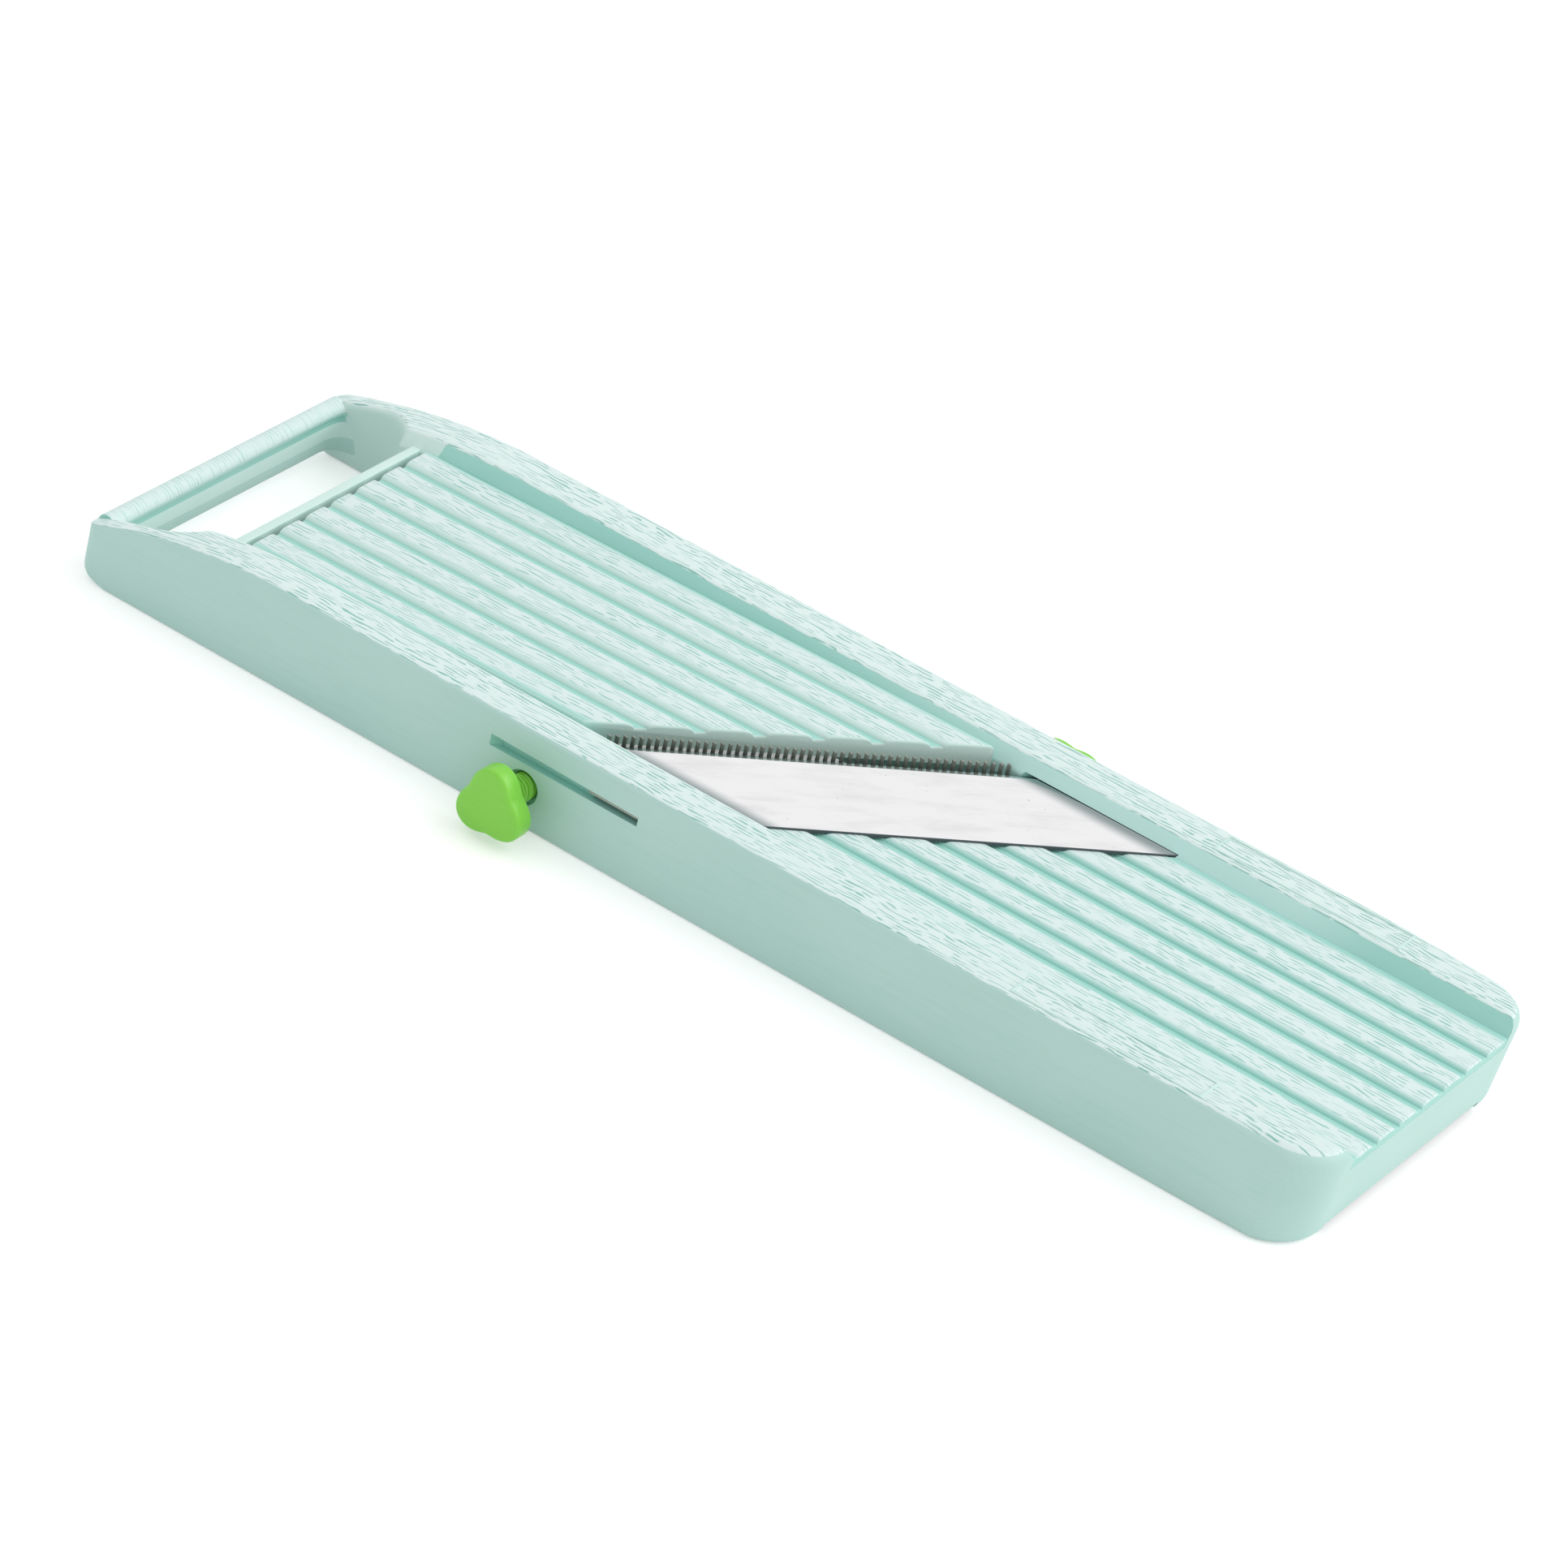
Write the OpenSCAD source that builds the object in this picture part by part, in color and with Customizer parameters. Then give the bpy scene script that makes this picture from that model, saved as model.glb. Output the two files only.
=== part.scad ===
// Hand slicer with a hinged grooved plate, a diagonal blade and a comb blade.
// Origin: middle of the flat underside. +X runs towards the outfeed end, +Z is up.

/* [Body] */
// Overall length of the body
body_l = 315.4; // [290:1:380]
// Width over the outer walls
body_w = 91.2; // [88:1:110]
// Height of the rail tops above the table
body_h = 23.4; // [22.6:0.2:28]
// Clear width between the rails at the slicing surface
bed_w = 64; // [54:1:66]
// Sideways flare of each rail's inner face, from the slicing surface to the rail top
channel_flare = 3.2; // [1:0.1:4]
// Thickness of the moulded walls
wall = 2.4; // [1.8:0.1:2.8]
// Thickness of the rail tops
rail_top_t = 2.6; // [2:0.1:3]
// Radius of the outfeed corners in plan
corner_r = 12; // [6:1:13]

/* [Handle] */
// Height of the handle end
handle_h = 13.5; // [12:0.5:15]
// Length over which the rails curve down to the handle end
handle_curve_l = 53.5; // [45:1:60]
// Length of the finger opening along the body
handle_gap = 24; // [18:0.2:28]
// Clear width of the finger opening
handle_w = 81; // [70:1:83]
// Thickness of the handle bar along the body
handle_bar_t = 5.2; // [4:0.2:12]
// Height of the handle bar's underside
handle_bar_z = 3.5; // [1:0.5:5]
// Radius of the handle corners in plan
handle_corner_r = 3; // [2:0.5:8]
// Radius of the handle's lower edge
handle_edge_r = 4; // [2:0.5:5]
// Length of the narrow stretch between the finger opening's wide part and the hinge bar
opening_neck_l = 5.6; // [2:0.2:8]
// Thickness of the hinge bar along the body
hinge_bar_t = 2.3; // [2:0.1:4]
// Height of the hinge bar
hinge_bar_h = 9; // [6:0.5:12]

/* [Slicing surface] */
// Height of the fixed bed's ridge tops above the table
bed_z = 19.9; // [19:0.1:21]
// Number of ridges
ridge_count = 7; // [5:1:9]
// Height of the ridges
ridge_h = 1.1; // [0.8:0.1:1.4]
// Width of a groove at its bottom
groove_base = 2.2; // [1.6:0.1:2.8]
// Width of a groove at the ridge tops
groove_mouth = 4; // [3:0.1:5]
// Thickness of the moulding under the grooves
skin_t = 1.6; // [1.2:0.1:2]
// Distance from the body's centre to the bed's diagonal front edge, across the blade
bed_edge_u = 16; // [14:0.5:18]
// Number of cross ribs under the bed
rib_count = 3; // [1:1:4]
// Thickness of a cross rib
rib_t = 1.6; // [1.2:0.1:2.4]
// Depth of the cross ribs below the bed
rib_h = 7; // [4:0.5:12]
// Place of the first cross rib along the body
rib_x0 = 70; // [64:1:80]
// Length of the raised panel on each rail top
panel_l = 46.5; // [30:0.5:60]
// Width of the raised panels
panel_w = 7.2; // [5:0.1:7.6]
// Height of the raised panels above the rail tops
panel_h = 0.3; // [0.2:0.1:0.5]
// Place of the panels' centres along the body
panel_x = 103.7; // [80:0.1:110]

/* [Adjustable plate] */
// Clearance between the plate and what is beside it
plate_gap = 0.3; // [0.2:0.05:0.5]
// Gap between the hinge bar and the plate
plate_end_gap = 1.9; // [1:0.1:3]
// Height of the plate's ridge tops at its hinge end
plate_z = 20.3; // [19.5:0.1:21]
// Rise of the plate towards the blade at its highest setting, in degrees
plate_rise = 1.13; // [0.5:0.01:1.4]
// Distance from the body's centre to the plate's diagonal front edge, across the blade
plate_edge_u = -2.6; // [-6:0.1:-2.5]
// Depth of the plate's front and side skirts below its ridge tops
skirt_h = 5.2; // [4.5:0.1:5.4]
// Thickness of the skirts
skirt_t = 1.8; // [1.4:0.1:2.4]
// Radius of the hinge rod
hinge_rod_r = 1.5; // [1.2:0.1:2]
// Radial clearance of the hinge rod in the plate's barrels
hinge_clear = 0.05; // [0.02:0.01:0.1]

/* [Blades] */
// Thickness of the main blade
blade_t = 1; // [0.8:0.1:1.5]
// Width of the main blade, from its cutting edge to its back
blade_w = 27.4; // [22:0.2:32]
// Distance from the body's centre to the cutting edge, across the blade
blade_edge_u = 2.55; // [2:0.05:5]
// Length of the ground bevel
bevel_w = 2; // [1:0.1:3]
// How far the main blade stands above the bed's ridge tops
blade_proud = 0.5; // [0.3:0.1:0.8]
// Distance between the ends of the main blade, across the body
blade_span = 80; // [76:1:82]
// Radius of the blade screws
blade_screw_r = 1.5; // [1:0.1:2]
// Thickness of the comb blade
comb_t = 0.7; // [0.5:0.05:1]
// Distance from the body's centre to the comb teeth, across the blade
comb_edge_u = 0.4; // [0:0.1:1]
// Width of the comb blade, teeth to back
comb_w = 24.4; // [20:0.2:26]
// Spacing of the comb teeth along the blade
tooth_pitch = 1.75; // [1.5:0.05:6]
// Thickness of one tooth
tooth_t = 0.5; // [0.4:0.05:0.7]
// Length of one tooth along the body
tooth_l = 1.25; // [1:0.05:1.6]
// Drop of a tooth's top from front to back
tooth_slant = 0.6; // [0:0.1:1.2]
// Height of the teeth above the comb's strip
tooth_h = 4; // [3:0.1:4.5]
// Height of the bottom of the side slot above the table
slot_z = 14.8; // [14:0.1:15.5]
// Height of the side slot
slot_h = 2.5; // [2.2:0.1:3]

/* [Thumb screws] */
// Radius of a side screw's threaded shank
side_shank_r = 3.2; // [2.5:0.1:4]
// Height of the side screws above the table
side_screw_z = 9.1; // [8.9:0.1:10]
// Place of the near side screw along the body
near_screw_x = -38.8; // [-42:0.1:-36]
// Place of the far side screw along the body
far_screw_x = 34.4; // [30:0.1:37]
// Gap between the wall and a side knob when the screw is tight
side_knob_gap = 7.4; // [3.4:0.1:9]
// Thickness of a side knob
side_knob_t = 5; // [4:0.5:9]
// Radius of a side knob over its lobes
side_knob_r = 8.8; // [6:0.1:8.8]
// Radius of the depth screw's threaded shank
depth_shank_r = 4; // [3:0.1:5]
// Place of the depth screw along the body
depth_screw_x = -52; // [-58:1:-48]
// Thickness of the depth knob
depth_knob_t = 4; // [3:0.1:4.2]
// Radius of the depth knob over its lobes
depth_knob_r = 14; // [10:0.5:18]
// Direction of the near knob's upper lobe, in degrees from the outfeed end
near_knob_turn = 97; // [0:1:119]
// Direction of one of the far knob's two upper lobes, in degrees from the outfeed end
far_knob_turn = 30; // [0:1:119]
// Radial clearance of a threaded shank in its hole
thread_clear = 0.06; // [0.03:0.01:0.1]
// Thickness of the cross bar that carries the depth screw
bridge_t = 3.6; // [3:0.1:4]
// Height of the cross bar's underside
bridge_z = 8.6; // [8.4:0.1:9]
// Width of the cross bar along the body
bridge_w = 22; // [18:1:26]

/* [Hidden] */
$fn = 64;
BLADE_ANGLE = 45;

mint = [0.66, 0.85, 0.80];
lime = [0.47, 0.80, 0.25];
steel = [0.82, 0.83, 0.84];

half_l = body_l / 2;
half_w = body_w / 2;
half_bed = bed_w / 2;
rail_inner_top = half_bed + channel_flare;
curve_start_x = -half_l + handle_curve_l;
curve_drop = body_h - handle_h;
curve_r = (handle_curve_l * handle_curve_l + curve_drop * curve_drop) / (2 * curve_drop);
opening_x0 = -half_l + handle_bar_t;
opening_x1 = opening_x0 + handle_gap;
hinge_bar_x1 = opening_x1 + hinge_bar_t;
hinge_bar_z1 = plate_z - ridge_h;

cavity_x0 = curve_start_x - 6;
cavity_x1 = half_l - corner_r + 2;
cavity_y0 = half_bed + wall;
cavity_y1 = half_w - wall;
cavity_top = body_h - rail_top_t;

ridge_pitch = bed_w / ridge_count;
groove_z = bed_z - ridge_h;
bed_under_z = groove_z - skin_t;
blade_z0 = bed_z + blade_proud - blade_t;
blade_z1 = blade_z0 + blade_t;
slot_u0 = comb_edge_u - 2.5;
slot_u1 = comb_edge_u + comb_w + 0.25;
comb_z1 = slot_z + slot_h - 0.4;
comb_z0 = comb_z1 - comb_t;

plate_x0 = hinge_bar_x1 + plate_end_gap;
plate_half_w = half_bed - plate_gap;
barrel_r = hinge_rod_r + 1.6;
hinge_x = plate_x0 + barrel_r + 0.5;
hinge_z = plate_z - barrel_r - 0.4;
plate_top_local = plate_z - hinge_z;
blade_screw_hole_r = blade_screw_r + 0.1;

ear_w = 8;
ear_y = cavity_y0 + plate_gap;
ear_bottom_z = side_screw_z - side_shank_r;
side_tip_y = ear_y + comb_t + plate_gap;
side_boss_y = side_tip_y + 1.8;

bridge_top_z = bridge_z + bridge_t;
depth_arm = depth_screw_x - hinge_x;
plate_under_z = hinge_z + (plate_top_local - ridge_h - skin_t) / cos(plate_rise)
    + depth_arm * tan(plate_rise);
depth_tip_z = plate_under_z - plate_gap;
depth_knob_z1 = bridge_z - 0.6;

// A cutter for one vertical corner of radius r, with the corner at the origin
module corner_cut(r, h) {
    difference() {
        translate([-1, -1, -1]) cube([r + 1, r + 1, h + 2]);
        translate([r, r, -2]) cylinder(r = r, h = h + 4);
    }
}

// Turns +X to point across the blade and +Y along it
module along_blade() {
    rotate([0, 0, -BLADE_ANGLE]) children();
}

// A plan-shaped prism between two distances across the blade
module across(u0, u1, z0, z1) {
    along_blade() translate([u0, -body_l, z0]) cube([u1 - u0, 2 * body_l, z1 - z0]);
}

// The side view of the body: a flat top that curves down to the handle end
module side_view() {
    rotate([90, 0, 0]) linear_extrude(height = body_w + 2, center = true)
        difference() {
            union() {
                translate([curve_start_x, 0]) square([half_l - curve_start_x, body_h]);
                intersection() {
                    translate([curve_start_x, body_h - curve_r]) circle(r = curve_r, $fn = 180);
                    translate([-half_l, 0]) square([handle_curve_l + 0.01, body_h]);
                }
            }
            translate([-half_l, 0]) difference() {
                translate([-1, -1]) square(handle_edge_r + 1);
                translate([handle_edge_r, handle_edge_r]) circle(r = handle_edge_r);
            }
        }
}

module rail_section() {
    polygon([[half_bed, 0], [half_w, 0], [half_w, body_h],
        [rail_inner_top, body_h], [half_bed, bed_z]]);
}

// The far rail's moulding, without its screw hole or slot
module plain_rail() {
    intersection() {
        side_view();
        difference() {
            rotate([90, 0, 90]) linear_extrude(height = body_l, center = true) rail_section();
            translate([half_l, half_w, 0]) rotate([0, 0, 180]) corner_cut(corner_r, body_h);
            translate([-half_l, half_w, 0]) rotate([0, 0, -90]) corner_cut(handle_corner_r, body_h);
            translate([cavity_x0, cavity_y0, -1])
                cube([cavity_x1 - cavity_x0, cavity_y1 - cavity_y0, cavity_top + 1]);
            translate([-half_l - 1, 0, -1])
                cube([opening_x1 - opening_neck_l + half_l + 1, handle_w / 2, body_h + 2]);
        }
    }
}

// Bosses inside the rail: one for a side screw, two above the blade's end
module rail_bosses(screw_x, blade_x) {
    translate([screw_x, half_w - 0.5, side_screw_z]) rotate([90, 0, 0])
        cylinder(r = side_shank_r + 2.4, h = half_w - 0.5 - side_boss_y);
    for (x = blade_x)
        translate([x, blade_screw_y, blade_z1 - blade_t / 2])
            cylinder(r = blade_boss_r, h = body_h - 1 - blade_z1 + blade_t / 2);
}

blade_screw_y = blade_span / 2 - 2.4;
blade_boss_r = blade_screw_y - cavity_y0 + 0.4;
blade_screw_u = [blade_edge_u + 9, blade_edge_u + blade_w - 5];

// Places of the two blade screws along the far rail
function far_blade_screw_x() = [for (u = blade_screw_u) u * sqrt(2) + blade_screw_y];
function near_blade_screw_x() = [for (u = blade_screw_u) u * sqrt(2) - blade_screw_y];

module rail_holes(screw_x, blade_x) {
    translate([screw_x, half_w + 1, side_screw_z]) rotate([90, 0, 0])
        cylinder(r = side_shank_r + thread_clear, h = half_w + 1 - side_boss_y + 1);
    for (x = blade_x)
        translate([x, blade_screw_y, blade_z0 + 0.2])
            cylinder(r = blade_screw_r + 0.02, h = body_h - 1.4 - blade_z0 - 0.2);
    translate([hinge_x, half_bed - 1, hinge_z]) rotate([-90, 0, 0])
        cylinder(r = hinge_rod_r + 0.02, h = wall + 1);
}

// The gap that the main blade's end fills in the rail's inner wall
module blade_pocket() {
    intersection() {
        across(blade_edge_u - 0.05, blade_edge_u + blade_w + 0.05, blade_z0, blade_z1);
        translate([-half_l, -cavity_y1, 0]) cube([body_l, 2 * cavity_y1, body_h]);
    }
}

module far_rail() {
    color(mint) difference() {
        union() {
            plain_rail();
            rail_bosses(far_screw_x, far_blade_screw_x());
        }
        rail_holes(far_screw_x, far_blade_screw_x());
        blade_pocket();
        intersection() {
            across(slot_u0, slot_u1, slot_z, slot_z + slot_h);
            translate([-half_l, 0, 0]) cube([body_l, cavity_y1, body_h]);
        }
    }
}

module near_rail() {
    color(mint) difference() {
        mirror([0, 1, 0]) union() {
            plain_rail();
            rail_bosses(near_screw_x, near_blade_screw_x());
        }
        mirror([0, 1, 0]) rail_holes(near_screw_x, near_blade_screw_x());
        blade_pocket();
        across(slot_u0, slot_u1, slot_z, slot_z + slot_h);
    }
}

module handle_bar() {
    color(mint) intersection() {
        side_view();
        translate([-half_l, -handle_w / 2, handle_bar_z])
            cube([handle_bar_t, handle_w, body_h]);
    }
}

module hinge_bar() {
    color(mint) translate([opening_x1, -half_bed, hinge_bar_z1 - hinge_bar_h])
        cube([hinge_bar_t, bed_w, hinge_bar_h]);
}

// The six grooves between the ridges, cut down from z_top
module grooves(x0, x1, z_top) {
    for (i = [1 : ridge_count - 1])
        translate([x0, i * ridge_pitch - half_bed, z_top - ridge_h])
            rotate([90, 0, 90]) linear_extrude(height = x1 - x0)
                polygon([[-groove_base / 2, 0], [groove_base / 2, 0],
                    [groove_mouth / 2, ridge_h], [groove_mouth / 2, ridge_h + 1],
                    [-groove_mouth / 2, ridge_h + 1], [-groove_mouth / 2, ridge_h]]);
}

module outfeed_bed() {
    color(mint) difference() {
        translate([-half_l, -half_bed, bed_under_z])
            cube([body_l, bed_w, bed_z - bed_under_z]);
        across(-2 * body_l, bed_edge_u, 0, body_h);
        across(blade_edge_u, blade_edge_u + blade_w, blade_z0, body_h);
        grooves(-half_l, half_l + 1, bed_z);
    }
}

module bed_ribs() {
    rib_step = (half_l - wall - rib_x0) / rib_count;
    color(mint) for (i = [0 : rib_count - 1])
        translate([rib_x0 + i * rib_step, -half_bed, bed_under_z - rib_h])
            cube([rib_t, bed_w, rib_h]);
}

module rail_panels() {
    color(mint) for (side = [-1, 1])
        translate([panel_x - panel_l / 2, side * (half_w + rail_inner_top) / 2 - panel_w / 2, body_h])
            cube([panel_l, panel_w, panel_h]);
}

module outfeed_end_wall() {
    color(mint) translate([half_l - wall, -half_bed, 0]) cube([wall, bed_w, bed_under_z]);
}

module screw_bridge() {
    color(mint) difference() {
        translate([depth_screw_x - bridge_w / 2, -half_bed, bridge_z])
            cube([bridge_w, bed_w, bridge_t]);
        translate([depth_screw_x, 0, bridge_z - 1])
            cylinder(r = depth_shank_r + thread_clear, h = bridge_t + 2);
    }
}

// The plate lying level, with its hinge axis at the origin
module level_plate() {
    plate_l = body_l;
    under = plate_top_local - ridge_h - skin_t;
    difference() {
        union() {
            translate([plate_x0 - hinge_x, -plate_half_w, under])
                cube([plate_l, 2 * plate_half_w, ridge_h + skin_t]);
            for (side = [-1, 1])
                translate([plate_x0 - hinge_x, side * (plate_half_w - skirt_t / 2) - skirt_t / 2,
                    plate_top_local - skirt_h])
                    cube([plate_l, skirt_t, skirt_h]);
            translate([-hinge_x, 0, 0]) difference() {
                translate([-half_l, -plate_half_w, plate_top_local - skirt_h])
                    cube([body_l, 2 * plate_half_w, skirt_h]);
                across(-2 * body_l, plate_edge_u - skirt_t, -body_h, body_h);
            }
            for (side = [-1, 1])
                translate([0, side * (plate_half_w - 6), 0]) rotate([90, 0, 0])
                    cylinder(r = barrel_r, h = 12, center = true);
        }
        translate([-hinge_x, 0, 0]) across(plate_edge_u, 2 * body_l, -body_h, body_h);
        translate([plate_x0 - hinge_x - barrel_r, -body_w, -body_h])
            cube([barrel_r - 0.001, 2 * body_w, 2 * body_h]);
        grooves(plate_x0 - hinge_x + 1, plate_l, plate_top_local);
        rotate([90, 0, 0]) cylinder(r = hinge_rod_r + hinge_clear, h = body_w, center = true);
    }
}

module adjustable_plate() {
    color(mint) translate([hinge_x, 0, hinge_z]) rotate([0, -plate_rise, 0]) level_plate();
}

module plate_hinge_rod() {
    color(steel) translate([hinge_x, 0, hinge_z]) rotate([90, 0, 0])
        cylinder(r = hinge_rod_r, h = bed_w + 2 * wall, center = true);
}

module main_blade() {
    color(steel) difference() {
        intersection() {
            across(blade_edge_u, blade_edge_u + blade_w, blade_z0, blade_z1);
            translate([-half_l, -blade_span / 2, 0]) cube([body_l, blade_span, body_h]);
        }
        along_blade() translate([blade_edge_u, 0, blade_z1])
            rotate([0, -atan(0.8 * blade_t / bevel_w), 0])
                translate([-5, -body_w, 0]) cube([5 + bevel_w, 2 * body_w, 2]);
        for (x = far_blade_screw_x())
            translate([x, blade_screw_y, 0]) cylinder(r = blade_screw_hole_r, h = body_h);
        for (x = near_blade_screw_x())
            translate([x, -blade_screw_y, 0]) cylinder(r = blade_screw_hole_r, h = body_h);
    }
}

// A pan-headed screw, its head down
module blade_screw() {
    translate([0, 0, blade_z0 - 1.4]) cylinder(r = 2.6, h = 1.4);
    translate([0, 0, blade_z0 - 0.01])
        cylinder(r = blade_screw_r, h = blade_t + body_h - 1.8 - blade_z1);
}

module blade_screws() {
    color(steel) {
        for (x = far_blade_screw_x()) translate([x, blade_screw_y, 0]) blade_screw();
        for (x = near_blade_screw_x()) translate([x, -blade_screw_y, 0]) blade_screw();
    }
}

// The ear that a side screw clamps: a foot on the strip, bent down at its end
module comb_ear(screw_x, foot_l) {
    translate([screw_x - ear_w / 2, ear_y, ear_bottom_z])
        cube([ear_w, comb_t, comb_z1 - ear_bottom_z]);
    translate([screw_x - ear_w / 2, ear_y, comb_z0]) cube([foot_l, comb_t, comb_t]);
}

module comb_blade() {
    front_strip = 4.6;
    rear_strip = 9.2;
    reach = ear_y + comb_t;
    tooth_count = floor((bed_w * sqrt(2) - 1.5) / tooth_pitch);
    color(steel) {
        difference() {
            intersection() {
                across(comb_edge_u, comb_edge_u + comb_w, comb_z0, comb_z1);
                translate([-half_l, -reach, 0]) cube([body_l, 2 * reach, body_h]);
            }
            intersection() {
                across(comb_edge_u + front_strip, comb_edge_u + comb_w - rear_strip, 0, body_h);
                translate([-half_l, -half_bed + 1, 0]) cube([body_l, bed_w - 2, body_h]);
            }
        }
        intersection() {
            across(comb_edge_u + comb_w - rear_strip, comb_edge_u + comb_w, comb_z0, comb_z1);
            translate([-half_l, -half_w + 0.4, 0]) cube([body_l, half_w, body_h]);
        }
        comb_ear(far_screw_x, ear_w + 8);
        mirror([0, 1, 0]) comb_ear(near_screw_x, ear_w + 8);
        along_blade() for (i = [0 : tooth_count - 1])
            translate([comb_edge_u + tooth_t, (i - (tooth_count - 1) / 2) * tooth_pitch, comb_z1 - 0.1])
                rotate([90, 0, BLADE_ANGLE]) linear_extrude(height = tooth_t, center = true)
                    polygon([[0, 0], [tooth_l, 0], [tooth_l, tooth_h + 0.1 - tooth_slant],
                        [0, tooth_h + 0.1]]);
    }
}

// A three-lobed knob of thickness t that lies on z = 0
module lobed_knob(r, t) {
    lobe_r = 0.36 * r;
    waist_r = 0.6 * r;
    cylinder(r = waist_r, h = t);
    for (a = [0, 120, 240]) rotate([0, 0, a]) {
        translate([r - lobe_r, 0, 0]) cylinder(r = lobe_r, h = t);
        translate([0, -lobe_r, 0]) cube([r - lobe_r, 2 * lobe_r, t]);
    }
}

module depth_screw_shank() {
    dome_r = depth_shank_r * 1.25;
    dome_h = dome_r - sqrt(dome_r * dome_r - depth_shank_r * depth_shank_r);
    color(lime) translate([depth_screw_x, 0, 0]) {
        translate([0, 0, depth_knob_z1])
            cylinder(r = depth_shank_r, h = depth_tip_z - dome_h - depth_knob_z1);
        intersection() {
            translate([0, 0, depth_tip_z - dome_r]) sphere(r = dome_r);
            translate([0, 0, depth_tip_z - dome_h - 0.01])
                cylinder(r = depth_shank_r, h = dome_h + 0.02);
        }
    }
}

module depth_knob() {
    color(lime) translate([depth_screw_x, 0, depth_knob_z1 - depth_knob_t])
        lobed_knob(depth_knob_r, depth_knob_t);
}

// A side screw's shank on the far side, from its tip to the knob
module side_shank(screw_x) {
    translate([screw_x, side_tip_y, side_screw_z]) rotate([-90, 0, 0])
        cylinder(r = side_shank_r, h = half_w + side_knob_gap - side_tip_y);
}

module side_knob(screw_x, turn) {
    translate([screw_x, half_w + side_knob_gap, side_screw_z]) rotate([-90, 0, 0])
        rotate([0, 0, -turn]) lobed_knob(side_knob_r, side_knob_t);
}

module far_screw_shank() {
    color(lime) side_shank(far_screw_x);
}

module far_knob() {
    color(lime) side_knob(far_screw_x, far_knob_turn);
}

module near_screw_shank() {
    color(lime) mirror([0, 1, 0]) side_shank(near_screw_x);
}

module near_knob() {
    color(lime) mirror([0, 1, 0]) side_knob(near_screw_x, near_knob_turn);
}

near_rail();
far_rail();
handle_bar();
hinge_bar();
outfeed_bed();
bed_ribs();
outfeed_end_wall();
rail_panels();
screw_bridge();
adjustable_plate();
plate_hinge_rod();
main_blade();
blade_screws();
comb_blade();
depth_screw_shank();
depth_knob();
near_screw_shank();
near_knob();
far_screw_shank();
far_knob();
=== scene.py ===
import math

import bmesh
import bpy
from mathutils import Matrix, Vector


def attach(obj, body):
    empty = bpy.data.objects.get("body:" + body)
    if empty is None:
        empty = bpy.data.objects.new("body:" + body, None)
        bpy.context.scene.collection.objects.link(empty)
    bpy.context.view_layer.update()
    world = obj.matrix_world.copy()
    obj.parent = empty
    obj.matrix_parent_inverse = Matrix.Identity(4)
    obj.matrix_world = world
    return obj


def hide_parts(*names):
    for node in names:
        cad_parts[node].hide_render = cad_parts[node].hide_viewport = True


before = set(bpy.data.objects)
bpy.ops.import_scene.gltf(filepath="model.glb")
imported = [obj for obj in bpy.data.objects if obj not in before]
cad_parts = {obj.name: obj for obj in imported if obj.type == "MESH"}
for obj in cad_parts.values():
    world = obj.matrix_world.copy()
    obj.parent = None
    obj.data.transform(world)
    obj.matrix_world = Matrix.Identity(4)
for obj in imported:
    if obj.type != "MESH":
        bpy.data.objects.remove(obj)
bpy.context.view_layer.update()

MM = 0.001
DIAG = math.sqrt(2)

# Body, in millimetres
HALF_L = 157.7
HALF_W = 45.6
RAIL_Z = 23.4
BED_Z = 19.9
HALF_BED = 32.0
RAIL_INNER = 35.2
CURVE_X = -104.2
CURVE_R = 149.5
END_LEAN = 2.7
HANDLE_Y = 40.5
HANDLE_R = 3.0
OPENING_X, OPENING_R = -143.0, 11.5
BED_UNDER = 17.2
END_WALL_X = 155.3

# Ridges
RIDGES = 7
PITCH = 2 * HALF_BED / RIDGES
RIDGE_H = 1.1
GROOVE_BASE = 2.2
GROOVE_MOUTH = 4.2

# Moulded grain: spacing of its lines, and how many spacings they wander
GRAIN_GAP, GRAIN_WANDER = 1.0, 2.6

# Painted shade: distances from the middle of a groove where its darker colour starts to give way
# and has gone
GROOVE_SHADE = (0.8, 2.3)

# Painted light: where the rails' inner faces turn paler and darker again along the body, in metres
LIGHT_BAND_RISE, LIGHT_BAND_FALL = (-0.04, 0.06), (0.1, 0.13)

# Painted reflection and shade: where the blade's ends turn dark, off the middle of the body, in
# metres
END_SHADE_BAND = (0.0272, 0.0318)

# Largest angle in degrees between faces that still shade as one surface
SMOOTH_ANGLE = 38

# Adjustable plate
PLATE_X0 = -124.2
PLATE_Z = 20.3
PLATE_RISE = math.radians(1.13)
HINGE = Vector((-120.7, 0, 16.8))
PLATE_EDGE = -2.6 * DIAG
SKIRT = 5.2
SKIN = 1.6

# Blades
BED_U0 = 16.0
BLADE_U0, BLADE_U1 = 2.55, 29.95
BLADE_Z0, BLADE_Z1 = 19.4, 20.4
COMB_Z0, COMB_Z1 = 16.2, 16.9
SLOT_U0, SLOT_U1, SLOT_Z = -2.1, 25.05, 14.8

# Comb teeth: number, spacing, and place of the first in spacings from the middle
TEETH_COUNT, TOOTH_PITCH, FIRST_TOOTH = 51, 1.75, -24.5

# Screws
NEAR_SCREW_X, FAR_SCREW_X, SCREW_Z = -38.8, 34.4, 9.1
KNOB_GAP = 7.4
NEAR_KNOB_TURN, FAR_KNOB_TURN = 97, 30
DEPTH_X, DEPTH_Z = -52.0, 8.0
THREAD_STARTS, THREAD_LEAD, CREST = 3, 3.0, 0.42

# Knobs: radius over the lobes, thickness and edge radius; waist as a share of the radius
SIDE_KNOB, DEPTH_KNOB = (8.8, 5.0, 1.0), (14.0, 4.0, 1.1)
KNOB_WAIST, LOBE_BREADTH = 0.73, 0.8

# Places of the blade's screws: off the middle, and across the blade
SEAT_Y, SEAT_U = 37.6, (11.55, 24.95)

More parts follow.
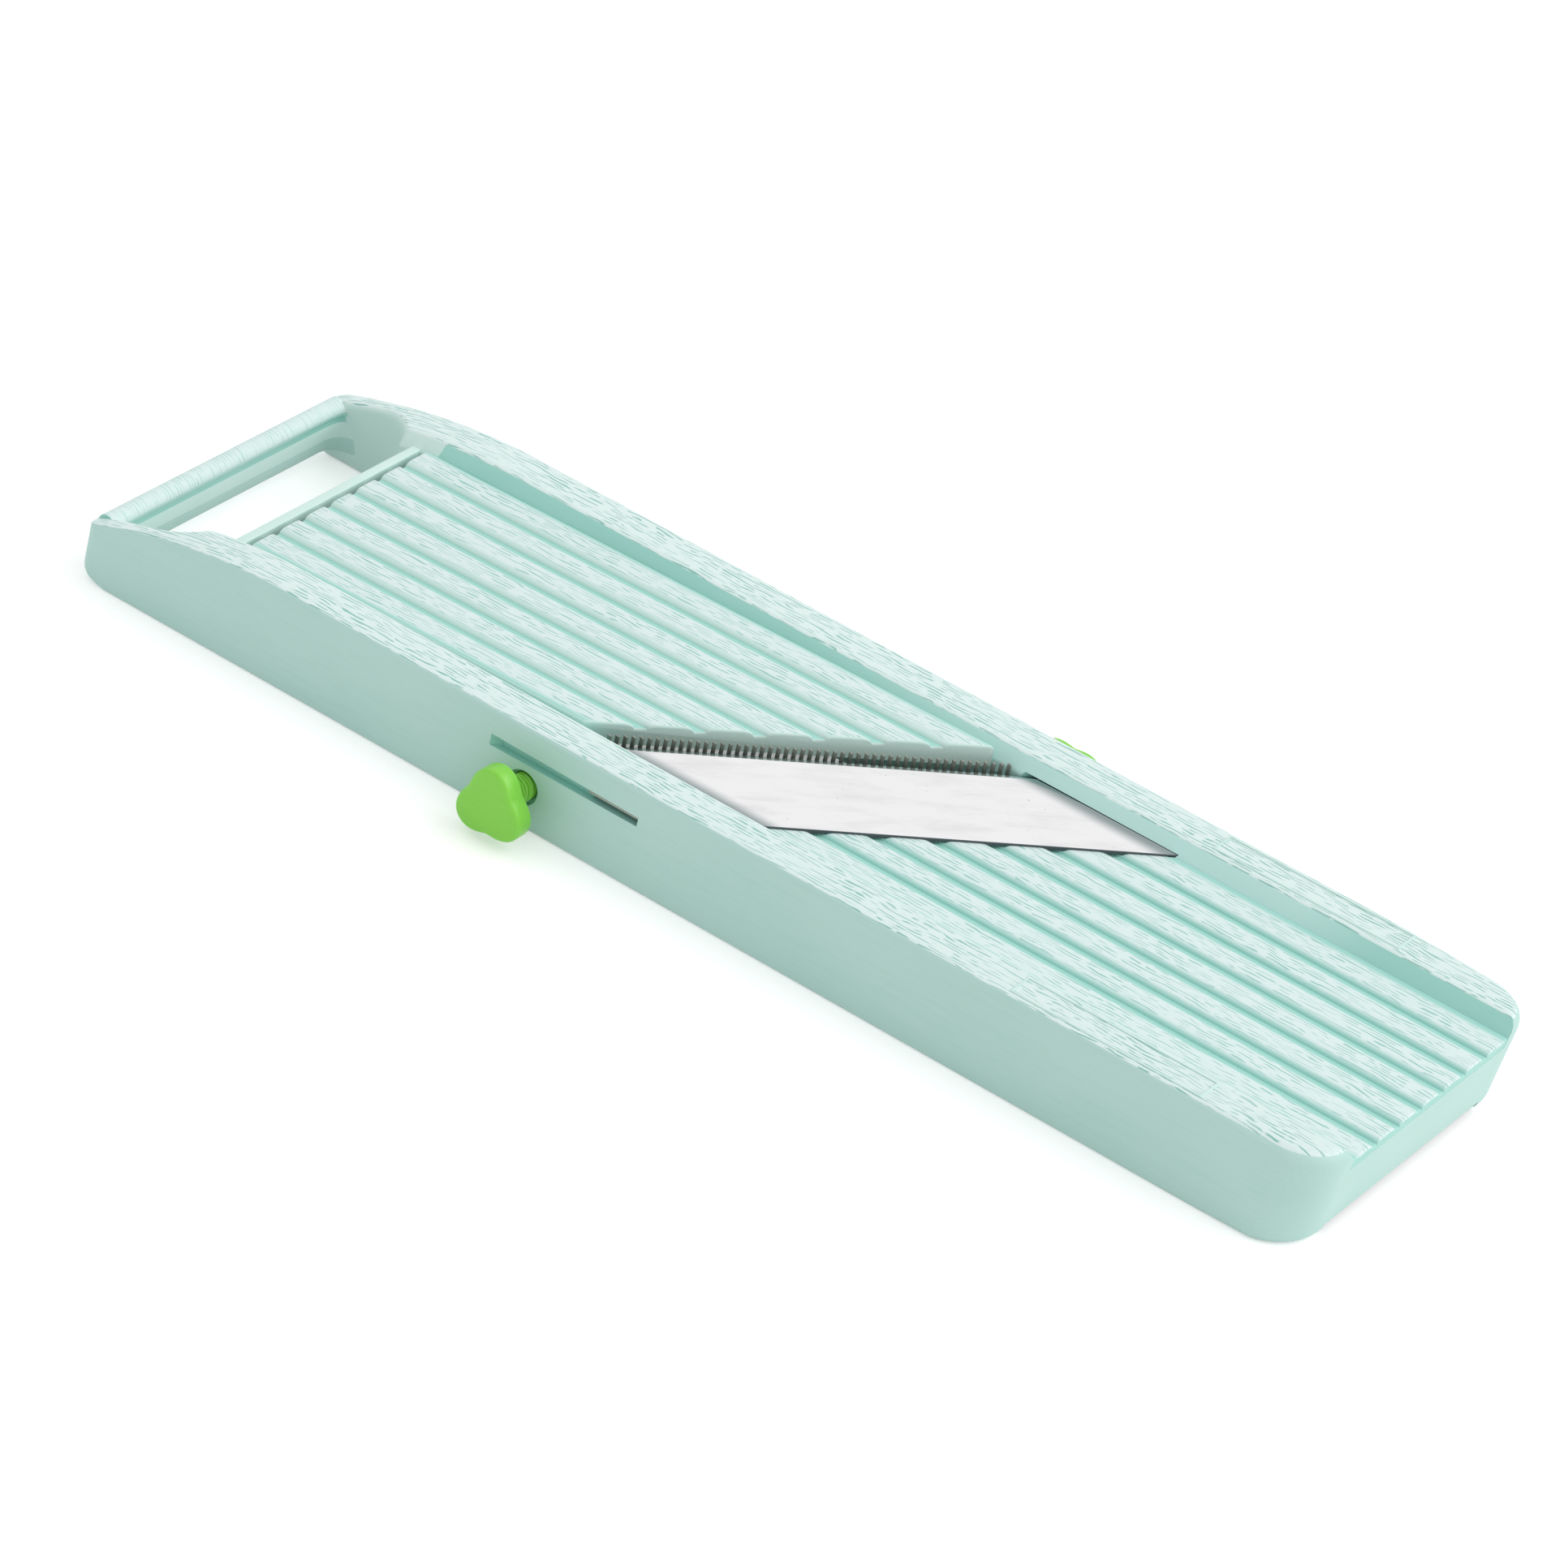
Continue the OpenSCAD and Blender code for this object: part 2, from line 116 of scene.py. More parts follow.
# Studio
AMBIENT, LAMP, LAMP_SPREAD = 0.77, 1.15, 50
LAMP_FROM = (0.6, 0.42, 0.68)
FLOOR_TONE, FLOOR_LIFT = 0.9, 0.35
FLOOR_REACH, FLOOR_Z = 4.0, -0.0001

# Camera, in metres and degrees
CAMERA_AT = (0.57885, -1.14104, 0.80902)
HEADING, TILT, ROLL = 27.0, 31.95, -13.87
LENS, SENSOR = 163.95, 36.0


def rail_top(x):
    """Height of the rail tops at a place along the body."""
    if x >= CURVE_X:
        return RAIL_Z
    return RAIL_Z - CURVE_R + math.sqrt(CURVE_R ** 2 - (x - CURVE_X) ** 2)


def ease(a, b, t):
    """0 below a, 1 above b, and a smooth rise between them."""
    t = min(max((t - a) / (b - a), 0), 1)
    return t * t * (3 - 2 * t)


# ---------------------------------------------------------------- meshes

def make_mesh(name, verts, faces, materials=(), face_material=None, sharp=SMOOTH_ANGLE):
    """A closed piece from vertices in millimetres, with its faces turned outwards."""
    mesh = bpy.data.meshes.new(name)
    mesh.from_pydata([Vector(v) * MM for v in verts], [], faces)
    for material in materials:
        mesh.materials.append(material)
    outwards(mesh, sharp)
    if face_material:
        for polygon in mesh.polygons:
            polygon.material_index = face_material(polygon.center / MM, polygon.normal)
    piece = bpy.data.objects.new(name, mesh)
    bpy.context.scene.collection.objects.link(piece)
    return piece


def smooth(mesh, sharp):
    """Shades a mesh smooth up to an angle in degrees."""
    mesh.shade_smooth()
    mesh.set_sharp_from_angle(angle=math.radians(sharp))


def outwards(mesh, sharp):
    """Merges doubles, turns the faces outwards and shades smooth up to an angle."""
    bm = bmesh.new()
    bm.from_mesh(mesh)
    bmesh.ops.remove_doubles(bm, verts=bm.verts, dist=1e-6)
    bmesh.ops.recalc_face_normals(bm, faces=bm.faces)
    bm.to_mesh(mesh)
    bm.free()
    smooth(mesh, sharp)


def stack_rings(rings, ends=None):
    """Vertices and faces of a closed solid through rings of points, lowest first.

    ends gives how many points, after the first, lie on each straight end of a mirrored loop.
    """
    n = len(rings[0])
    verts = [p for ring in rings for p in ring]
    faces = []
    for r in range(len(rings) - 1):
        for k in range(n):
            a, b = r * n + k, r * n + (k + 1) % n
            faces.append((a, b, b + n, a + n))
    for base in (0, (len(rings) - 1) * n):
        if ends:
            first, last = ends[0], n // 2 - 1 - ends[1]
            faces.append([base + k for k in range(first + 1)]
                         + [base + k for k in range(n - 1 - first, n)])
            for k in range(first, last):
                faces.append((base + k, base + k + 1, base + n - 2 - k, base + n - 1 - k))
            faces.append([base + k for k in range(last, n - last)])
        else:
            faces.append(tuple(range(base, base + n)))
    return verts, faces


def arc(cx, cy, r, a0, a1, steps):
    """Points on an arc, angles in degrees."""
    out = []
    for i in range(steps + 1):
        a = math.radians(a0 + (a1 - a0) * i / steps)
        out.append((cx + r * math.cos(a), cy + r * math.sin(a)))
    return out


def mirrored(near):
    """A loop from its near half, whose points have y below 0."""
    return near + [(x, -y) for x, y in reversed(near)]


def normals_of(loop):
    """Outward unit normals of a loop that runs anticlockwise seen from above."""
    out = []
    n = len(loop)
    for i in range(n):
        (x0, y0), (x1, y1) = loop[i - 1], loop[(i + 1) % n]
        dx, dy = x1 - x0, y1 - y0
        d = math.hypot(dx, dy) or 1
        out.append((dy / d, -dx / d))
    return out


def boolean(piece, cutter, operation="DIFFERENCE", solver="EXACT"):
    """Applies a boolean with a cutter, which is used up."""
    modifier = piece.modifiers.new("cut", "BOOLEAN")
    modifier.operation = operation
    modifier.solver = solver
    modifier.object = cutter
    if solver == "EXACT":
        modifier.material_mode = "TRANSFER"
    bake(piece)
    bpy.data.objects.remove(cutter)


def bake(piece):
    """Applies every modifier on a piece."""
    depsgraph = bpy.context.evaluated_depsgraph_get()
    mesh = bpy.data.meshes.new_from_object(piece.evaluated_get(depsgraph))
    piece.modifiers.clear()
    piece.data = mesh
    smooth(mesh, SMOOTH_ANGLE)


def block(name, low, high, materials=(), bevel=0.0):
    """A box in millimetres, with rounded edges."""
    bm = bmesh.new()
    bmesh.ops.create_cube(bm, size=1)
    low, high = Vector(low), Vector(high)
    for v in bm.verts:
        v.co = (low + high) / 2 + Vector(c * (h - l) for c, l, h in zip(v.co, low, high))
    if bevel:
        bmesh.ops.bevel(bm, geom=bm.edges[:], offset=bevel, segments=3, profile=0.5,
                        affect="EDGES", clamp_overlap=True)
    verts = [v.co.copy() for v in bm.verts]
    bm.verts.index_update()
    faces = [[v.index for v in f.verts] for f in bm.faces]
    bm.free()
    return make_mesh(name, verts, faces, materials)


def revolve(name, profile, centre, axis, materials, steps):
    """A closed solid turned from (radius, height) pairs about an axis."""
    turn = Vector((0, 0, 1)).rotation_difference(Vector(axis)).to_matrix()
    rings = []
    for r, h in profile:
        rings.append([turn @ Vector((r * math.cos(2 * math.pi * k / steps),
                                     r * math.sin(2 * math.pi * k / steps), h)) + Vector(centre)
                      for k in range(steps)])
    verts, faces = stack_rings(rings)
    return make_mesh(name, verts, faces, materials)


def join(name, pieces):
    """One piece from several that keep their materials."""
    with bpy.context.temp_override(active_object=pieces[0], object=pieces[0],
                                   selected_objects=pieces, selected_editable_objects=pieces):
        bpy.ops.object.join()
    pieces[0].name = name
    pieces[0].data.name = name
    return pieces[0]


# ---------------------------------------------------------------- materials

def socket(tree, kind, name, direction, default=None):
    item = tree.interface.new_socket(name=name, in_out=direction, socket_type=kind)
    if default is not None:
        item.default_value = default


def fill(tree, item, value):
    """Links a socket to an input, or sets the input to a value."""
    if isinstance(value, bpy.types.NodeSocket):
        tree.links.new(value, item)
    else:
        item.default_value = value


def add(tree, kind, **values):
    """A node with its inputs filled by name, where _ stands for a space."""
    node = tree.nodes.new(kind)
    for key, value in values.items():
        fill(tree, node.inputs[key.replace("_", " ")], value)
    return node


def math_node(tree, operation, a, b=0.5):
    node = tree.nodes.new("ShaderNodeMath")
    node.operation = operation
    for item, value in zip(node.inputs, (a, b)):
        fill(tree, item, value)
    return node.outputs[0]


def times(tree, a, b):
    return math_node(tree, "MULTIPLY", a, b)


def plus(tree, a, b):
    return math_node(tree, "ADD", a, b)


def minus(tree, a, b):
    return math_node(tree, "SUBTRACT", a, b)


def axes(tree, place):
    """The X, Y and Z parts of a vector."""
    split = add(tree, "ShaderNodeSeparateXYZ", Vector=place)
    return split.outputs["X"], split.outputs["Y"], split.outputs["Z"]


def vector(tree, x=0.0, y=0.0, z=0.0):
    return add(tree, "ShaderNodeCombineXYZ", X=x, Y=y, Z=z).outputs[0]


def map_range(tree, value, a, b, c=0.0, d=1.0):
    """Maps a...b to c...d along a smooth step."""
    node = tree.nodes.new("ShaderNodeMapRange")
    node.interpolation_type = "SMOOTHSTEP"
    for item, filling in zip(node.inputs, (value, a, b, c, d)):
        fill(tree, item, filling)
    return node.outputs[0]


def mix_colour(tree, factor, a, b):
    node = tree.nodes.new("ShaderNodeMix")
    node.data_type = "RGBA"
    for index, value in ((0, factor), (6, a), (7, b)):
        tree.links.new(value, node.inputs[index])
    return node.outputs[2]


def noise(tree, place, scale, detail, rough=0.5):
    """Noise, with one scale in cycles per metre or one for each axis."""
    if isinstance(scale, tuple):
        place = add(tree, "ShaderNodeMapping", Vector=place, Scale=scale).outputs[0]
        scale = 1.0
    return add(tree, "ShaderNodeTexNoise", Vector=place, Scale=scale, Detail=detail,
               Roughness=rough).outputs["Fac"]


def detail_group(name, *inputs):
    """A group with colour inputs, given by name, and number inputs, given as (name, default).

    Gives the tree, its input sockets, the place on the piece, and a function that links the
    three outputs that every finish uses.
    """
    tree = bpy.data.node_groups.new(name, "ShaderNodeTree")
    for item in inputs:
        if isinstance(item, str):
            socket(tree, "NodeSocketColor", item, "INPUT")
        else:
            socket(tree, "NodeSocketFloat", item[0], "INPUT", item[1])
    for kind, key in (("Color", "Colour"), ("Float", "Height"), ("Float", "Roughness")):
        socket(tree, "NodeSocket" + kind, key, "OUTPUT")
    source = tree.nodes.new("NodeGroupInput").outputs
    out = tree.nodes.new("NodeGroupOutput").inputs
    place = tree.nodes.new("ShaderNodeTexCoord").outputs["Object"]

    def give(colour, height, roughness):
        for key, value in (("Colour", colour), ("Height", height), ("Roughness", roughness)):
            tree.links.new(value, out[key])
        return tree

    return tree, source, place, give


def grain_group():
    """Wood-like moulded grain: fine broken lines along X, left out of the ridges' grooves, and,
    where asked, painted shade: a darker colour in the grooves and at the bed's edges.
    """
    tree, source, place, give = detail_group(
        "moulded_grain", "Colour", "Streak colour", "Groove colour", ("Grooves", 0.0))
    x, y, _ = axes(tree, place)
    along_scale = 260.0
    wander = noise(tree, place, (85, 260, 0), 2.0)
    lane = plus(tree, times(tree, y, 1 / (GRAIN_GAP * MM)), times(tree, wander, GRAIN_WANDER))
    wave = math_node(tree, "SINE", times(tree, lane, 2 * math.pi))
    breaks = noise(tree, vector(tree, times(tree, x, along_scale), lane), 1.0, 1.0)
    patches = noise(tree, place, (60, 150, 0), 1.0)
    streaks = times(tree, map_range(tree, wave, 0.1, 0.7), map_range(tree, breaks, 0.43, 0.53))
    streaks = times(tree, streaks, map_range(tree, patches, 0.3, 0.65, 0.5, 1.0))

    # Painted shade: a darker colour across each groove and along the bed's edges at the walls
    pitches = plus(tree, times(tree, y, 1 / (PITCH * MM)), HALF_BED / PITCH + 0.5)
    off_groove = math_node(tree, "ABSOLUTE",
                           minus(tree, math_node(tree, "FRACT", pitches), 0.5))
    groove_shade = map_range(tree, off_groove, *(d / PITCH for d in GROOVE_SHADE), 1.0, 0.0)
    groove_shade = times(tree, groove_shade, source["Grooves"])
    streaks = times(tree, streaks, minus(tree, 1.0, groove_shade))
    grained = mix_colour(tree, streaks, source["Colour"], source["Streak colour"])
    return give(mix_colour(tree, groove_shade, grained, source["Groove colour"]),
                minus(tree, 1.0, streaks), plus(tree, times(tree, breaks, 0.16), 0.36))


def mottle_group():
    """Faint cloudy change of tone and gloss of a smooth moulded surface, and, where asked, painted
    light: a paler band along the body.
    """
    tree, source, place, give = detail_group(
        "moulded_mottle", "Colour", "Deep colour", ("Gloss", 0.35), "Mid colour", ("Fade", 0.0))
    cloud = noise(tree, place, (30, 60, 60), 3.0)
    drawn = noise(tree, place, (70, 2600, 1500), 3.0, 0.6)
    pores = noise(tree, place, 3200.0, 2.0)
    tone = plus(tree, times(tree, map_range(tree, cloud, 0.3, 0.7), 0.35),
                times(tree, map_range(tree, drawn, 0.45, 0.7), 0.30))
    mottled = mix_colour(tree, tone, source["Colour"], source["Deep colour"])
    # Painted light: a paler band along the body
    x = axes(tree, place)[0]
    painted_light = times(tree, map_range(tree, x, *LIGHT_BAND_RISE), map_range(tree, x, *LIGHT_BAND_FALL, 1.0, 0.0))
    painted_light = times(tree, painted_light, source["Fade"])
    return give(mix_colour(tree, painted_light, mottled, source["Mid colour"]),
                plus(tree, times(tree, drawn, 0.7), times(tree, pores, 0.3)),
                plus(tree, times(tree, drawn, 0.14), source["Gloss"]))


def rolled_steel_group():
    """Satin rolled steel: faint drawn lines along the blade, clouds and a few dark specks, and,
    where asked, a painted reflection and shade: a dark band at the ends.
    """
    tree, source, place, give = detail_group(
        "rolled_steel", "Colour", "Speck colour", ("Gloss", 0.3), "End colour",
        ("Dull ends", 0.0))
    along = add(tree, "ShaderNodeMapping", Vector=place,
                Rotation=(0, 0, math.radians(-45))).outputs[0]
    drawn = noise(tree, along, (60, 5200, 900), 3.0, 0.6)
    cloud = noise(tree, along, (60, 220, 60), 4.0, 0.6)
    specks = map_range(tree, noise(tree, place, 900.0, 1.0), 0.765, 0.80)
    tone = math_node(tree, "MAXIMUM", times(tree, map_range(tree, cloud, 0.42, 0.72), 0.30),
                     times(tree, specks, 0.7))
    specked = mix_colour(tree, tone, source["Colour"], source["Speck colour"])
    # Painted reflection and shade: a dark band at the ends of the piece, off the middle, standing
    # in for the shaded rail wall reflected there
    off_middle = math_node(tree, "ABSOLUTE", axes(tree, place)[1])
    end_shade = times(tree, map_range(tree, off_middle, *END_SHADE_BAND), source["Dull ends"])
    return give(mix_colour(tree, end_shade, specked, source["End colour"]), drawn,
                plus(tree, times(tree, drawn, 0.10), source["Gloss"]))


def rgb(r, g, b):
    """A colour given as 0 to 255 screen values."""
    out = []
    for c in (r, g, b):
        c /= 255
        out.append(c / 12.92 if c <= 0.04045 else ((c + 0.055) / 1.055) ** 2.4)
    return (*out, 1.0)


def finish_material(name, group, bump, metallic=0.0, subsurface=0.0, **inputs):
    """A material whose colour, roughness and bump come from one of the groups.

    bump is its strength and its depth in millimetres. The group's inputs are screen colours
    and numbers, by name, where _ stands for a space.
    """
    material = bpy.data.materials.new(name)
    material.use_nodes = True
    material.diffuse_color = (0.5, 0.5, 0.5, 1)
    tree = material.node_tree
    shader = tree.nodes["Principled BSDF"]
    detail = tree.nodes.new("ShaderNodeGroup")
    detail.node_tree = group
    for key, value in inputs.items():
        detail.inputs[key.replace("_", " ")].default_value = (
            rgb(*value) if isinstance(value, tuple) else value)
    relief = add(tree, "ShaderNodeBump", Strength=bump[0], Distance=bump[1] * MM,
                 Height=detail.outputs["Height"])
    for key, value in (("Base Color", detail.outputs["Colour"]),
                       ("Roughness", detail.outputs["Roughness"]),
                       ("Normal", relief.outputs["Normal"]), ("Metallic", metallic)):
        fill(tree, shader.inputs[key], value)
    if subsurface:
        shader.inputs["Subsurface Weight"].default_value = subsurface
        shader.inputs["Subsurface Radius"].default_value = (0.6, 1.0, 0.9)
        shader.inputs["Subsurface Scale"].default_value = 1.5 * MM
    return material


GRAIN = grain_group()
MOTTLE = mottle_group()
ROLLED = rolled_steel_group()

mint_grained = finish_material("mint_grained", GRAIN, (0.5, 0.08),
                               Colour=(220, 238, 235), Streak_colour=(142, 194, 184))
mint_bar = finish_material("mint_bar", GRAIN, (0.3, 0.06),
                           Colour=(214, 234, 231), Streak_colour=(186, 219, 212))
# This finish paints shade into the grooves and along the bed's edges with its darker groove colour
mint_ridged = finish_material("mint_ridged", GRAIN, (0.4, 0.06), Grooves=1.0,
                              Colour=(218, 236, 234), Streak_colour=(154, 202, 193),
                              Groove_colour=(166, 219, 209))
mint_smooth = finish_material("mint_smooth", MOTTLE, (0.25, 0.02), Gloss=0.36,
                              Colour=(160, 215, 204), Deep_colour=(150, 209, 197))
mint_wall = finish_material("mint_wall", MOTTLE, (0.35, 0.03), Gloss=0.40,
                            Colour=(186, 221, 213), Deep_colour=(176, 214, 205))
# A paler copy of the mint. On the finger opening's walls, the plate's faces other than its ridged
# top and a band of the handle bar's inner face it is painted light; on the rail panels and the
# hinge bar it is a plain pale tone
mint_pale_and_lit = finish_material("mint_pale_and_lit", MOTTLE, (0.25, 0.02), Gloss=0.38,
                            Colour=(210, 236, 229), Deep_colour=(202, 231, 223))
# This finish paints light as a paler band along the middle of the body
mint_channel = finish_material("mint_channel", MOTTLE, (0.25, 0.02), Gloss=0.36, Fade=1.0,
                               Colour=(162, 216, 206), Deep_colour=(152, 210, 199),
                               Mid_colour=(193, 231, 225))
lime_gloss = finish_material("lime_gloss", MOTTLE, (0.2, 0.02), Gloss=0.27, subsurface=0.3,
                             Colour=(136, 214, 72), Deep_colour=(122, 206, 58))
# This finish paints a dark band at the blade's ends, standing in for reflection and shade where the
# blade enters the rails
blade_steel = finish_material("blade_steel", ROLLED, (0.15, 0.01), Gloss=0.09, metallic=1.0,
                              Colour=(240, 240, 241), Speck_colour=(200, 200, 202),
                              End_colour=(146, 158, 158), Dull_ends=1.0)
blade_bevel = finish_material("blade_bevel", ROLLED, (0.15, 0.01), Gloss=0.16, metallic=1.0,
                              Colour=(196, 198, 201), Speck_colour=(170, 172, 176))
cut_edge = finish_material("cut_edge", ROLLED, (0.3, 0.02), Gloss=0.42, metallic=0.6,
                           Colour=(88, 94, 98), Speck_colour=(62, 66, 70))
# The comb's steel is darkened, partly for its rough dull finish and partly as painted shade; the
# pale tooth steel below it is a painted highlight for the teeth's lit end faces
comb_steel_dull_and_shaded = finish_material("comb_steel_dull_and_shaded", ROLLED, (0.2, 0.01), Gloss=0.34, metallic=0.7,
                             Colour=(140, 148, 140), Speck_colour=(108, 114, 106))
tooth_highlight = finish_material("tooth_highlight", ROLLED, (0.2, 0.01), Gloss=0.3, metallic=0.7,
                             Colour=(226, 210, 202), Speck_colour=(196, 182, 174))


# ---------------------------------------------------------------- body

def steps(a, b, n):
    """n values from a to b, without b."""
    return [a + (b - a) * i / n for i in range(n)]


BODY_FINISHES = (mint_grained, mint_wall, mint_pale_and_lit, mint_channel)


def body_blank():
    """The whole body as one block: rounded corners in plan, curved top, rounded rims."""
    handle_r, end_r = HANDLE_R, 12.0
    near = [(-HALF_L, y) for y in steps(-0.5, -HALF_W + handle_r, 8)]
    near += arc(-HALF_L + handle_r, -HALF_W + handle_r, handle_r, 180, 270, 10)
    near += [(x, -HALF_W) for x in steps(-HALF_L + handle_r, CURVE_X, 24)[1:]]
    near += [(x, -HALF_W) for x in steps(CURVE_X, HALF_L - end_r, 18)]
    near += arc(HALF_L - end_r, -HALF_W + end_r, end_r, 270, 360, 16)
    near += [(HALF_L, y) for y in steps(-HALF_W + end_r, -0.5, 8)[1:]] + [(HALF_L, -0.5)]
    loop = mirrored(near)
    normals = normals_of(loop)

    # Edge radii along the sides, and what they gain at the outfeed end and at the handle
    rim, rim_outfeed, rim_handle = 1.1, 2.3, -0.6
    foot, foot_outfeed, foot_handle = 0.8, 1.6, 3.0

    def ring(level):
        out = []
        for (x, y), (nx, ny) in zip(loop, normals):
            top = rail_top(x)
            top_r = rim + rim_outfeed * ease(118, 152, x) + rim_handle * ease(-140, -157, x)
            foot_r = (foot + foot_outfeed * ease(138, 156, x)
                      + foot_handle * ease(-150, -157.5, x))
            kind, a = level
            if kind == "foot":
                inset, z = foot_r * (1 - math.sin(a)), foot_r * (1 - math.cos(a))
            elif kind == "wall":
                inset, z = 0.0, foot_r + (top - top_r - foot_r) * a
            else:
                inset, z = top_r * (1 - math.cos(a)), top - top_r * (1 - math.sin(a))
            inset += END_LEAN * (1 - z / RAIL_Z) * max(nx, 0) * (x > 0)
            out.append((x - nx * inset, y - ny * inset, z))
        return out

    quarter = [math.radians(a) for a in (0, 18, 36, 54, 72, 90)]
    levels = [("foot", a) for a in quarter] + [("wall", t) for t in (0.33, 0.66, 1.0)]
    levels += [("top", a) for a in quarter[1:]]
    verts, faces = stack_rings([ring(level) for level in levels], (8, 8))

    def finish(centre, normal):
        return 0 if normal.z > 0.75 and centre.z > 8 else 1

    return make_mesh("body", verts, faces, BODY_FINISHES, finish)


def channel_side(x):
    """Distance of the rails' inner faces from the middle at the bed and at the rail top."""
    run = min(max(x - OPENING_X, 0), OPENING_R)
    wall = HANDLE_Y - OPENING_R + math.sqrt(OPENING_R ** 2 - run ** 2)
    return max(HALF_BED, wall), max(RAIL_INNER, wall)


def inner_cutter():
    """The space between the rails: finger opening, plate window and the channel over the bed."""
    beyond, corner_end, last = 168.0, -131.2, 150
    places = [-beyond] + [-beyond + 20 * i / 10 for i in range(1, 11)]
    places += steps(-147, OPENING_X, 3) + steps(OPENING_X, corner_end, 30)
    places += steps(corner_end, CURVE_X, 14) + steps(CURVE_X, last, 10)
    near = [(-beyond, f) for f in (0.02, 0.5)] + [(x, 1.0) for x in places]
    near += [(None, f) for f in (1.0, 0.75, 0.5, 0.25, 0.02)]

    def section(x):
        low, high = channel_side(x)
        top = rail_top(max(x, -HALF_L))
        start = min(BED_Z, top - 3.2)
        angle = math.atan2(top - start, high - low)
        r = 1.5
        tangent = r * math.tan(angle / 2)
        ux, uz = math.cos(angle), math.sin(angle)
        out = [(low + 1.6, -1.0), (low + 0.9, 0.0), (low + 0.35, 0.35), (low, 1.1), (low, 9.0),
               (low, BED_UNDER - 0.1 if x > -120 else min(BED_UNDER, start - 1)),
               (low, BED_UNDER + 0.02 if x > -120 else min(BED_UNDER + 0.12, start - 0.9)),
               (low, start - 0.5), (low + 0.12 * ux, start - 0.1),
               (low + 0.4 * ux, start + 0.4 * uz)]
        cx, cz = high + tangent, top - r
        for i in range(7):
            a = math.pi / 2 + angle + (math.radians(6) - angle) * i / 6
            out.append((cx + r * math.cos(a), cz + r * math.sin(a)))
        out.append((out[-1][0] + 0.02, top + 4))
        return out

    rings = []
    count = len(section(0))
    for level in range(count):
        ring = []
        for x, f in near:
            if x is None:
                x_end = END_WALL_X if level <= 5 else beyond
                y, z = section(last)[level]
                ring.append((x_end, -y * f, z))
            else:
                y, z = section(x)[level]
                ring.append((x, -y * f, z))
        rings.append([(x, y, z) for x, y, z in ring] + [(x, -y, z) for x, y, z in reversed(ring)])
    verts, faces = stack_rings(rings, (2, 4))

    def finish(centre, normal):
        if abs(normal.z) > 0.72 and centre.z > 8:
            return 0
        # Painted light: faces before the hinge, round the finger opening, take the paler mint,
        # standing in for light reaching the opening's walls; faces after it take the channel finish
        # with its painted light band
        return 2 if centre.x < HINGE.x else 3

    return make_mesh("channel", verts, faces, BODY_FINISHES, finish)


def sheared(name, u0, u1, y0, y1, z0, tops, materials):
    """A block whose ends run diagonally, with its own height at each end."""
    verts = []
    for y in (y0, y1):
        for u, z in ((u0, z0), (u1, z0), (u1, tops[1]), (u0, tops[0])):
            verts.append((y + u * DIAG, y, z))
    faces = [(0, 1, 2, 3), (4, 7, 6, 5), (0, 4, 5, 1), (1, 5, 6, 2), (2, 6, 7, 3), (3, 7, 4, 0)]
    return make_mesh(name, verts, faces, materials)


def ridge_line(half_width, top, edge_r):
    """Profile (y, z) over the ridges, from one side to the other."""
    line = [(-half_width + edge_r * (1 - math.cos(a)), top - edge_r * (1 - math.sin(a)))
            for a in (0, math.pi / 6, math.pi / 3, math.pi / 2)]
    side = len(line)
    mouth, base = GROOVE_MOUTH / 2, GROOVE_BASE / 2
    crown, foot = mouth + 0.4, base - 0.1
    half = [(crown - (crown - foot) * math.sin(a), -RIDGE_H * (1 - math.cos(a)))
            for a in (math.radians(d) for d in (0, 15, 30, 45, 60, 75, 90))]
    for i in range(1, RIDGES):
        y = i * PITCH - HALF_BED
        line += [(y - d, top + z) for d, z in half] + [(y + d, top + z) for d, z in reversed(half)]
    return line + [(-y, z) for y, z in reversed(line[:side])]


def sweep(name, stations, materials, finish):
    """A closed solid through profiles with the same number of points, first end to last."""
    n = len(stations[0])
    verts = [v for ring in stations for v in ring]
    faces = []
    for i in range(len(stations) - 1):
        for j in range(n):
            a, b = i * n + j, i * n + (j + 1) % n
            faces.append((a, b, b + n, a + n))
    faces.append(tuple(range(n)))
    faces.append(tuple(range((len(stations) - 1) * n, len(stations) * n)))
    return make_mesh(name, verts, faces, materials, finish, sharp=42)


def end_round(r):
    """Pairs (how far back from the end, how far down) round an edge of radius r."""
    return [(r * (1 - math.sin(a)), r * (1 - math.cos(a)))
            for a in (math.radians(d) for d in (0, 25, 50, 72, 90))]


def fixed_bed():
    """The ridged bed behind the blade, with the blade's seat cut across its front."""
    low, end_r = BED_UNDER - 0.2, 0.45
    top_line = ridge_line(HALF_BED + 0.3, BED_Z, 0.05)
    section = top_line + [(HALF_BED + 0.3, low), (-HALF_BED - 0.3, low)]

    def ring(place, seat=False, down=0.0):
        out = []
        for y, z in section:
            if z > low:
                z = min(z, BLADE_Z0) if seat else z
                z -= down
            x = place(y) - (END_LEAN * (1 - z / RAIL_Z) if place(y) > 150 else 0)
            out.append((x, y, z))
        return out

    rear = BLADE_U1 * DIAG
    stations = [ring(lambda y: y + BED_U0 * DIAG, True), ring(lambda y: y + rear, True),
                ring(lambda y: y + rear + 0.05), ring(lambda y: y + rear + 0.4)]
    stations += [ring(lambda y, back=back: HALF_L - 0.05 - back, False, down)
                 for back, down in end_round(end_r)]

    def finish(centre, normal):
        return 0 if normal.z > 0.02 and centre.z > BED_UNDER else 1

    return sweep("fixed_bed", stations, (mint_ridged, mint_smooth), finish)


